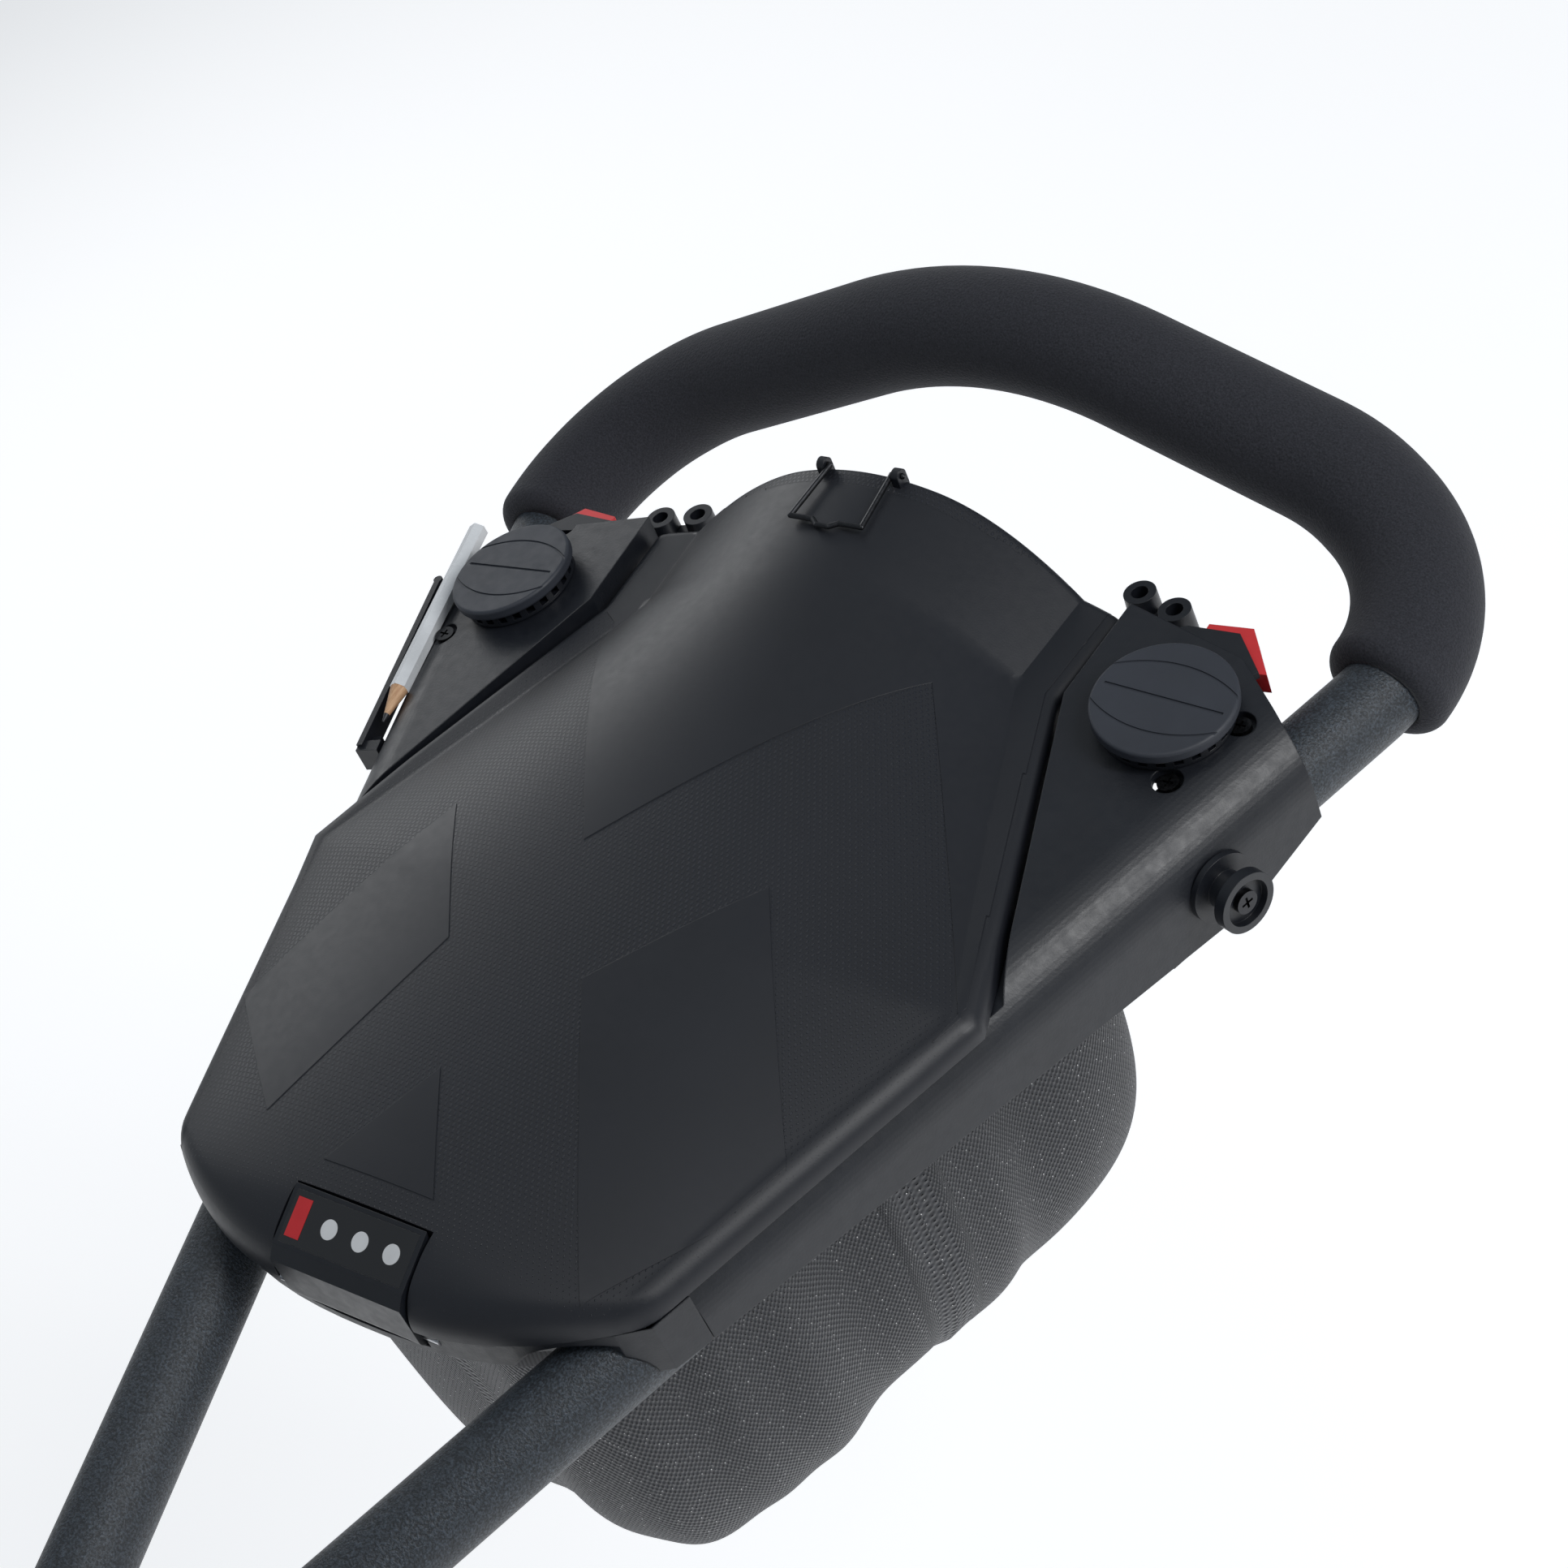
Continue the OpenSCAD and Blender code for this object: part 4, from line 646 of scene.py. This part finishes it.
# ------------------------------------------------------------------ net bag
BAG_FRONT_W, BAG_REAR_W = 62.0, 124.0
BAG_CENTRE_Y, BAG_HALF_L = 353.0, 122.0
BAG_TOP_Z, BAG_DEPTH = -7.0, 163.0
BAG_SQUARE = 6.0
MOUTH_HALF, MOUTH_HEIGHT = 75.0, 46.0
BAG_AROUND = 380
BAG_ROWS = 130
BAG_CORNER = 5.0        # how square the turn from the walls to the bottom is


def bag_ring(angle):
    """Plan of the bag at an angle round it: a rounded trapezium about its centre."""
    c, s = math.cos(angle), math.sin(angle)
    cx = math.copysign(abs(c) ** (2 / BAG_SQUARE), c)
    sy = math.copysign(abs(s) ** (2 / BAG_SQUARE), s)
    half_w = (BAG_FRONT_W + BAG_REAR_W) / 2 + sy * (BAG_REAR_W - BAG_FRONT_W) / 2
    return half_w * cx, BAG_HALF_L * sy


def even_steps(curve, count, closed=False):
    """Parameters at even distances along a finely sampled curve, and its length."""
    params, points = curve
    lengths = np.concatenate(([0.0], np.cumsum(np.linalg.norm(np.diff(points, axis=0), axis=1))))
    wanted = np.linspace(0, lengths[-1], count + 1)
    found = np.interp(wanted, lengths, params)
    return (found[:-1] if closed else found), lengths[-1]


def profile(phi):
    """(depth, closing) of the bag at an angle down its side: a square-shouldered quarter oval."""
    return math.sin(phi) ** (2 / BAG_CORNER), max(0.0, math.cos(phi)) ** (2 / BAG_CORNER)


def gathers(s, depth):
    """How far the soft vertical folds stand out at a place round the bag, in millimetres."""
    fold = 2.4 * math.sin(s / 14.0 + 1.3 * math.sin(s / 61.0))
    fold += 1.0 * math.sin(s / 6.3 + 1.7 * math.sin(s / 37.0) + depth * 2.5)
    sway = 2.2 * math.sin(s / 52.0 + 0.8)
    swell = 0.45 + 0.55 * math.sin(math.pi * min(1.0, 0.12 + 0.8 * depth))
    return fold * swell + sway * depth


def bag_surface(angle, s, phi):
    """A point of the net, in millimetres."""
    depth, closing = profile(phi)
    x, y = bag_ring(angle)
    away = math.hypot(x, y)
    reach = closing * (away + min(1.0, 2.2 * closing) * (gathers(s, depth) - 2.5))
    sag = 2.5 * math.sin(s / 71.0) * depth
    z = BAG_TOP_Z - (BAG_DEPTH - 3.0) * depth - sag * (0.3 + 0.7 * closing)
    return Vector((x * reach / away, BAG_CENTRE_Y + y * reach / away, z))


def in_mouth(p, margin=0.0):
    """True for a point of the rear opening for the hand, in millimetres."""
    low = BAG_TOP_Z - MOUTH_HEIGHT + margin
    return p.y > BAG_CENTRE_Y + 60 and p.z > low and abs(p.x) < MOUTH_HALF - margin


def build_bag():
    fine = np.linspace(0, 2 * math.pi, 6001)
    plan = np.array([bag_ring(a) for a in fine])
    angles, around = even_steps((fine, plan), BAG_AROUND, closed=True)
    fine = np.linspace(0, math.pi / 2, 3001)
    side = np.array([(profile(p)[1] * 100.0, -BAG_DEPTH * profile(p)[0]) for p in fine])
    phis, down = even_steps((fine, side), BAG_ROWS)
    points = []
    for phi in phis[:-1]:
        for k, angle in enumerate(angles):
            points.append(bag_surface(angle, around * k / BAG_AROUND, phi) * MM)
    points.append(Vector((0, BAG_CENTRE_Y, BAG_TOP_Z - BAG_DEPTH + 3.0)) * MM)
    n, rows = BAG_AROUND, BAG_ROWS
    faces, flats = [], []
    for j in range(rows - 1):
        on_floor = profile(phis[j])[1] < 0.72
        for k in range(n):
            m = (k + 1) % n
            quad = (j * n + k, j * n + m, (j + 1) * n + m, (j + 1) * n + k)
            middle = sum((points[i] for i in quad), Vector()) / 4 / MM
            if in_mouth(middle):
                continue
            faces.append(quad)
            if on_floor:
                flats.append([(points[i].x, points[i].y) for i in quad])
            else:
                ends = [(k, j), (k + 1, j), (k + 1, j + 1), (k, j + 1)]
                flats.append([(around * a / n * MM, down * b / rows * MM) for a, b in ends])
    tip = len(points) - 1
    for k in range(n):
        corners = ((rows - 1) * n + k, (rows - 1) * n + (k + 1) % n, tip)
        faces.append(corners)
        flats.append([(points[i].x, points[i].y) for i in corners])
    obj = make_object("bag_mesh", points, faces, net)
    cloth = obj.data.uv_layers.new(name="cloth")
    spread = [uv for face in flats for uv in face]
    cloth.data.foreach_set("uv", [c for uv in spread for c in uv])
    bm = bmesh.new()
    bm.from_mesh(obj.data)
    bmesh.ops.delete(bm, geom=[v for v in bm.verts if not v.link_faces], context="VERTS")
    bm.to_mesh(obj.data)
    bm.free()
    return obj, angles, around


def ribbon(name, centres, across, outward, width_mm, thick_mm, material, closed=False):
    """A flat tape with rounded edges along the centres; across and outward are its directions at each."""
    section = []
    steps = 6
    w, t = width_mm / 2, thick_mm / 2
    for sign in (1, -1):
        for k in range(steps + 1):
            a = math.pi * (k / steps - 0.5)
            section.append((sign * (w - t + t * math.cos(a)), sign * t * math.sin(a)))
    n = len(section)
    points, faces, flats = [], [], []
    run = 0.0
    runs = []
    for j, c in enumerate(centres):
        if j:
            run += (c - centres[j - 1]).length
        runs.append(run)
        for a, b in section:
            points.append((c + across[j] * a + outward[j] * b) * MM)
    last_ring = len(centres) if closed else len(centres) - 1
    for j in range(last_ring):
        q = (j + 1) % len(centres)
        for k in range(n):
            m = (k + 1) % n
            faces.append((j * n + k, j * n + m, q * n + m, q * n + k))
            r1 = runs[q] if q else run + 2.0
            flats += [(runs[j] * MM, k * MM), (runs[j] * MM, (k + 1) * MM),
                      (r1 * MM, (k + 1) * MM), (r1 * MM, k * MM)]
    if not closed:
        for ring, flip in ((0, False), (len(centres) - 1, True)):
            cap = [ring * n + k for k in range(n)]
            faces.append(tuple(cap if flip else reversed(cap)))
            flats += [(0.0, k * MM) for k in range(n)]
    obj = make_object(name, points, faces, material)
    cloth = obj.data.uv_layers.new(name="cloth")
    cloth.data.foreach_set("uv", [c for uv in flats for c in uv])
    fix_normals(obj)
    return obj


bag, bag_angles, bag_around = build_bag()
place(bag, "frame", "net", "bag_net")


def build_hem():
    """Binding tape round the top of the net."""
    centres, across, outward = [], [], []
    for k, angle in enumerate(bag_angles):
        s = bag_around * k / BAG_AROUND
        phi = 0.0004
        p = bag_surface(angle, s, phi)
        q = bag_surface(angle, s, 0.0015)
        away = Vector((p.x, p.y - BAG_CENTRE_Y, 0)).normalized()
        centres.append(Vector((p.x, p.y, BAG_TOP_Z - 5.5)) + away * 0.3)
        across.append(Vector((0, 0, 1)))
        outward.append(away)
    keep = [i for i, c in enumerate(centres) if not (c.y > BAG_CENTRE_Y + 60 and abs(c.x) < MOUTH_HALF)]
    start = next(i for i in keep if (i - 1) % len(centres) not in keep)
    order = [(start + i) % len(centres) for i in range(len(keep))]
    pick = lambda items: [items[i] for i in order]
    return ribbon("bag_hem", pick(centres), pick(across), pick(outward), 9.0, 1.4, tape)


def build_mouth():
    """Binding tape down, along and up the edge of the rear opening."""
    low = BAG_TOP_Z - MOUTH_HEIGHT
    corner = 14.0
    outline = [(-MOUTH_HALF, BAG_TOP_Z - 2.0), (-MOUTH_HALF, low + corner)]
    outline += [(-MOUTH_HALF + corner * (1 - math.cos(a)), low + corner * (1 - math.sin(a)))
                for a in np.linspace(0, math.pi / 2, 9)[1:]]
    outline += [(-x, z) for x, z in reversed(outline)]
    dense = []
    for (x0, z0), (x1, z1) in zip(outline, outline[1:]):
        steps = max(1, round(math.hypot(x1 - x0, z1 - z0) / 2.5))
        dense += [(mix(x0, x1, k / steps), mix(z0, z1, k / steps)) for k in range(steps)]
    dense.append(outline[-1])
    rear = [a for a in bag_angles if bag_ring(a)[1] > 60]
    centres, across, outward = [], [], []
    for i, (x, z) in enumerate(dense):
        depth = (BAG_TOP_Z - z) / (BAG_DEPTH - 3.0)
        phi = math.asin(min(1.0, max(0.0, depth)) ** (BAG_CORNER / 2))
        best = min(rear, key=lambda a: abs(
            bag_surface(a, bag_around * list_index[a] / BAG_AROUND, phi).x - x))
        p = bag_surface(best, bag_around * list_index[best] / BAG_AROUND, phi)
        centres.append(Vector((x, p.y, z)))
        a, b = dense[max(0, i - 1)], dense[min(len(dense) - 1, i + 1)]
        along = Vector((b[0] - a[0], 0, b[1] - a[1])).normalized()
        across.append(along.cross(Vector((0, 1, 0))))
        outward.append(Vector((0, 1, 0)))
    for _ in range(6):
        ys = [c.y for c in centres]
        for i in range(1, len(centres) - 1):
            centres[i].y = (ys[i - 1] + 2 * ys[i] + ys[i + 1]) / 4
    return ribbon("bag_mouth_tape", centres, across, outward, 9.0, 1.8, tape)


list_index = {a: k for k, a in enumerate(bag_angles)}
hem = build_hem()
place(hem, "frame", "net")
mouth_tape = build_mouth()
place(mouth_tape, "frame", "net")


# ------------------------------------------------------------------ CAD nodes that stay
FINISH = {
    wing_black: ["tray", "left_wing", "right_wing", "front_bridge", "lid_hinge_leaf", "lid_catch",
                 "clip_hooks"],
    yoke_black: ["apex_yoke", "left_saddle", "right_saddle", "left_clamp", "right_clamp", "bag_frame"],
    small_black: [
        "latch_tab", "left_tee_holder", "right_tee_holder", "left_button_housing", "right_button_housing",
        "pencil_holder", "accessory_spool", "left_cap_ring", "right_cap_ring"],
    cap_rubber: ["left_cap", "right_cap"],
    red_button: ["left_release_button", "right_release_button"],
    badge_black: ["badge_plate"],
    badge_red: ["badge_stripe"],
    badge_pale: ["badge_dots"],
    bush_plastic: ["pivot_bushes"],
    zinc_steel: ["yoke_bolts", "yoke_nuts", "lid_hinge_pins", "latch_pin", "latch_spring",
                 "left_button_spring", "right_button_spring"],
    black_steel: ["scorecard_clip", "bridge_screws", "clamp_screws", "wing_screws", "tray_screws",
                  "spool_screw", "bag_screws"],
    pencil_white: ["pencil_barrel"],
    wood: ["pencil_tip"],
    graphite: ["pencil_lead"],
}
for material, names in FINISH.items():
    for name in names:
        mesh = NODES[name].data
        mesh.materials.clear()
        mesh.materials.append(material)


# ------------------------------------------------------------------ studio
FLOOR_BELOW, FLOOR_HALF = 0.55, 9.0

floor_tree = Tree("floor_pale")
floor_tone = floor_tree.mix(floor_tree.noise(1.5, 2.0), (0.80, 0.80, 0.81), (0.84, 0.84, 0.85))
floor_tree.shader(floor_tone, 0.9, **{"Emission Color": (1, 1, 1, 1), "Emission Strength": 0.50})
floor_z = cad_box[0][2] - FLOOR_BELOW
floor_corners = [(x, y, floor_z) for x, y in ((-FLOOR_HALF, -FLOOR_HALF), (FLOOR_HALF, -FLOOR_HALF),
                                              (FLOOR_HALF, FLOOR_HALF), (-FLOOR_HALF, FLOOR_HALF))]
floor = make_object("floor", floor_corners, [(0, 1, 2, 3)], floor_tree.material, smooth=False)

world = bpy.data.worlds.new("World")
bpy.context.scene.world = world
world.use_nodes = True
background = world.node_tree.nodes["Background"]
background.inputs["Color"].default_value = (0.82, 0.91, 1.0, 1)
background.inputs["Strength"].default_value = 0.28


def softbox(name, place_, aim, width, height, watts, colour=(1, 1, 1)):
    data = bpy.data.lights.new(name, "AREA")
    data.shape = "RECTANGLE"
    data.size, data.size_y = width, height
    data.energy = watts
    data.color = colour
    lamp = bpy.data.objects.new(name, data)
    bpy.context.scene.collection.objects.link(lamp)
    lamp.location = place_
    lamp.rotation_mode = "QUATERNION"
    lamp.rotation_quaternion = (Vector(aim) - Vector(place_)).to_track_quat("-Z", "Y")
    return lamp


AIM = (0.0, 0.38, 0.0)
softbox("rear_left", (-2.1, 1.5, 0.75), AIM, 1.6, 0.9, 10)
softbox("right", (1.9, 0.7, 1.5), AIM, 0.4, 1.5, 34)
softbox("overhead", (0.2, 0.2, 2.6), AIM, 2.0, 2.0, 10)

bpy.context.scene.view_settings.view_transform = "Standard"
bpy.context.scene.view_settings.look = "None"
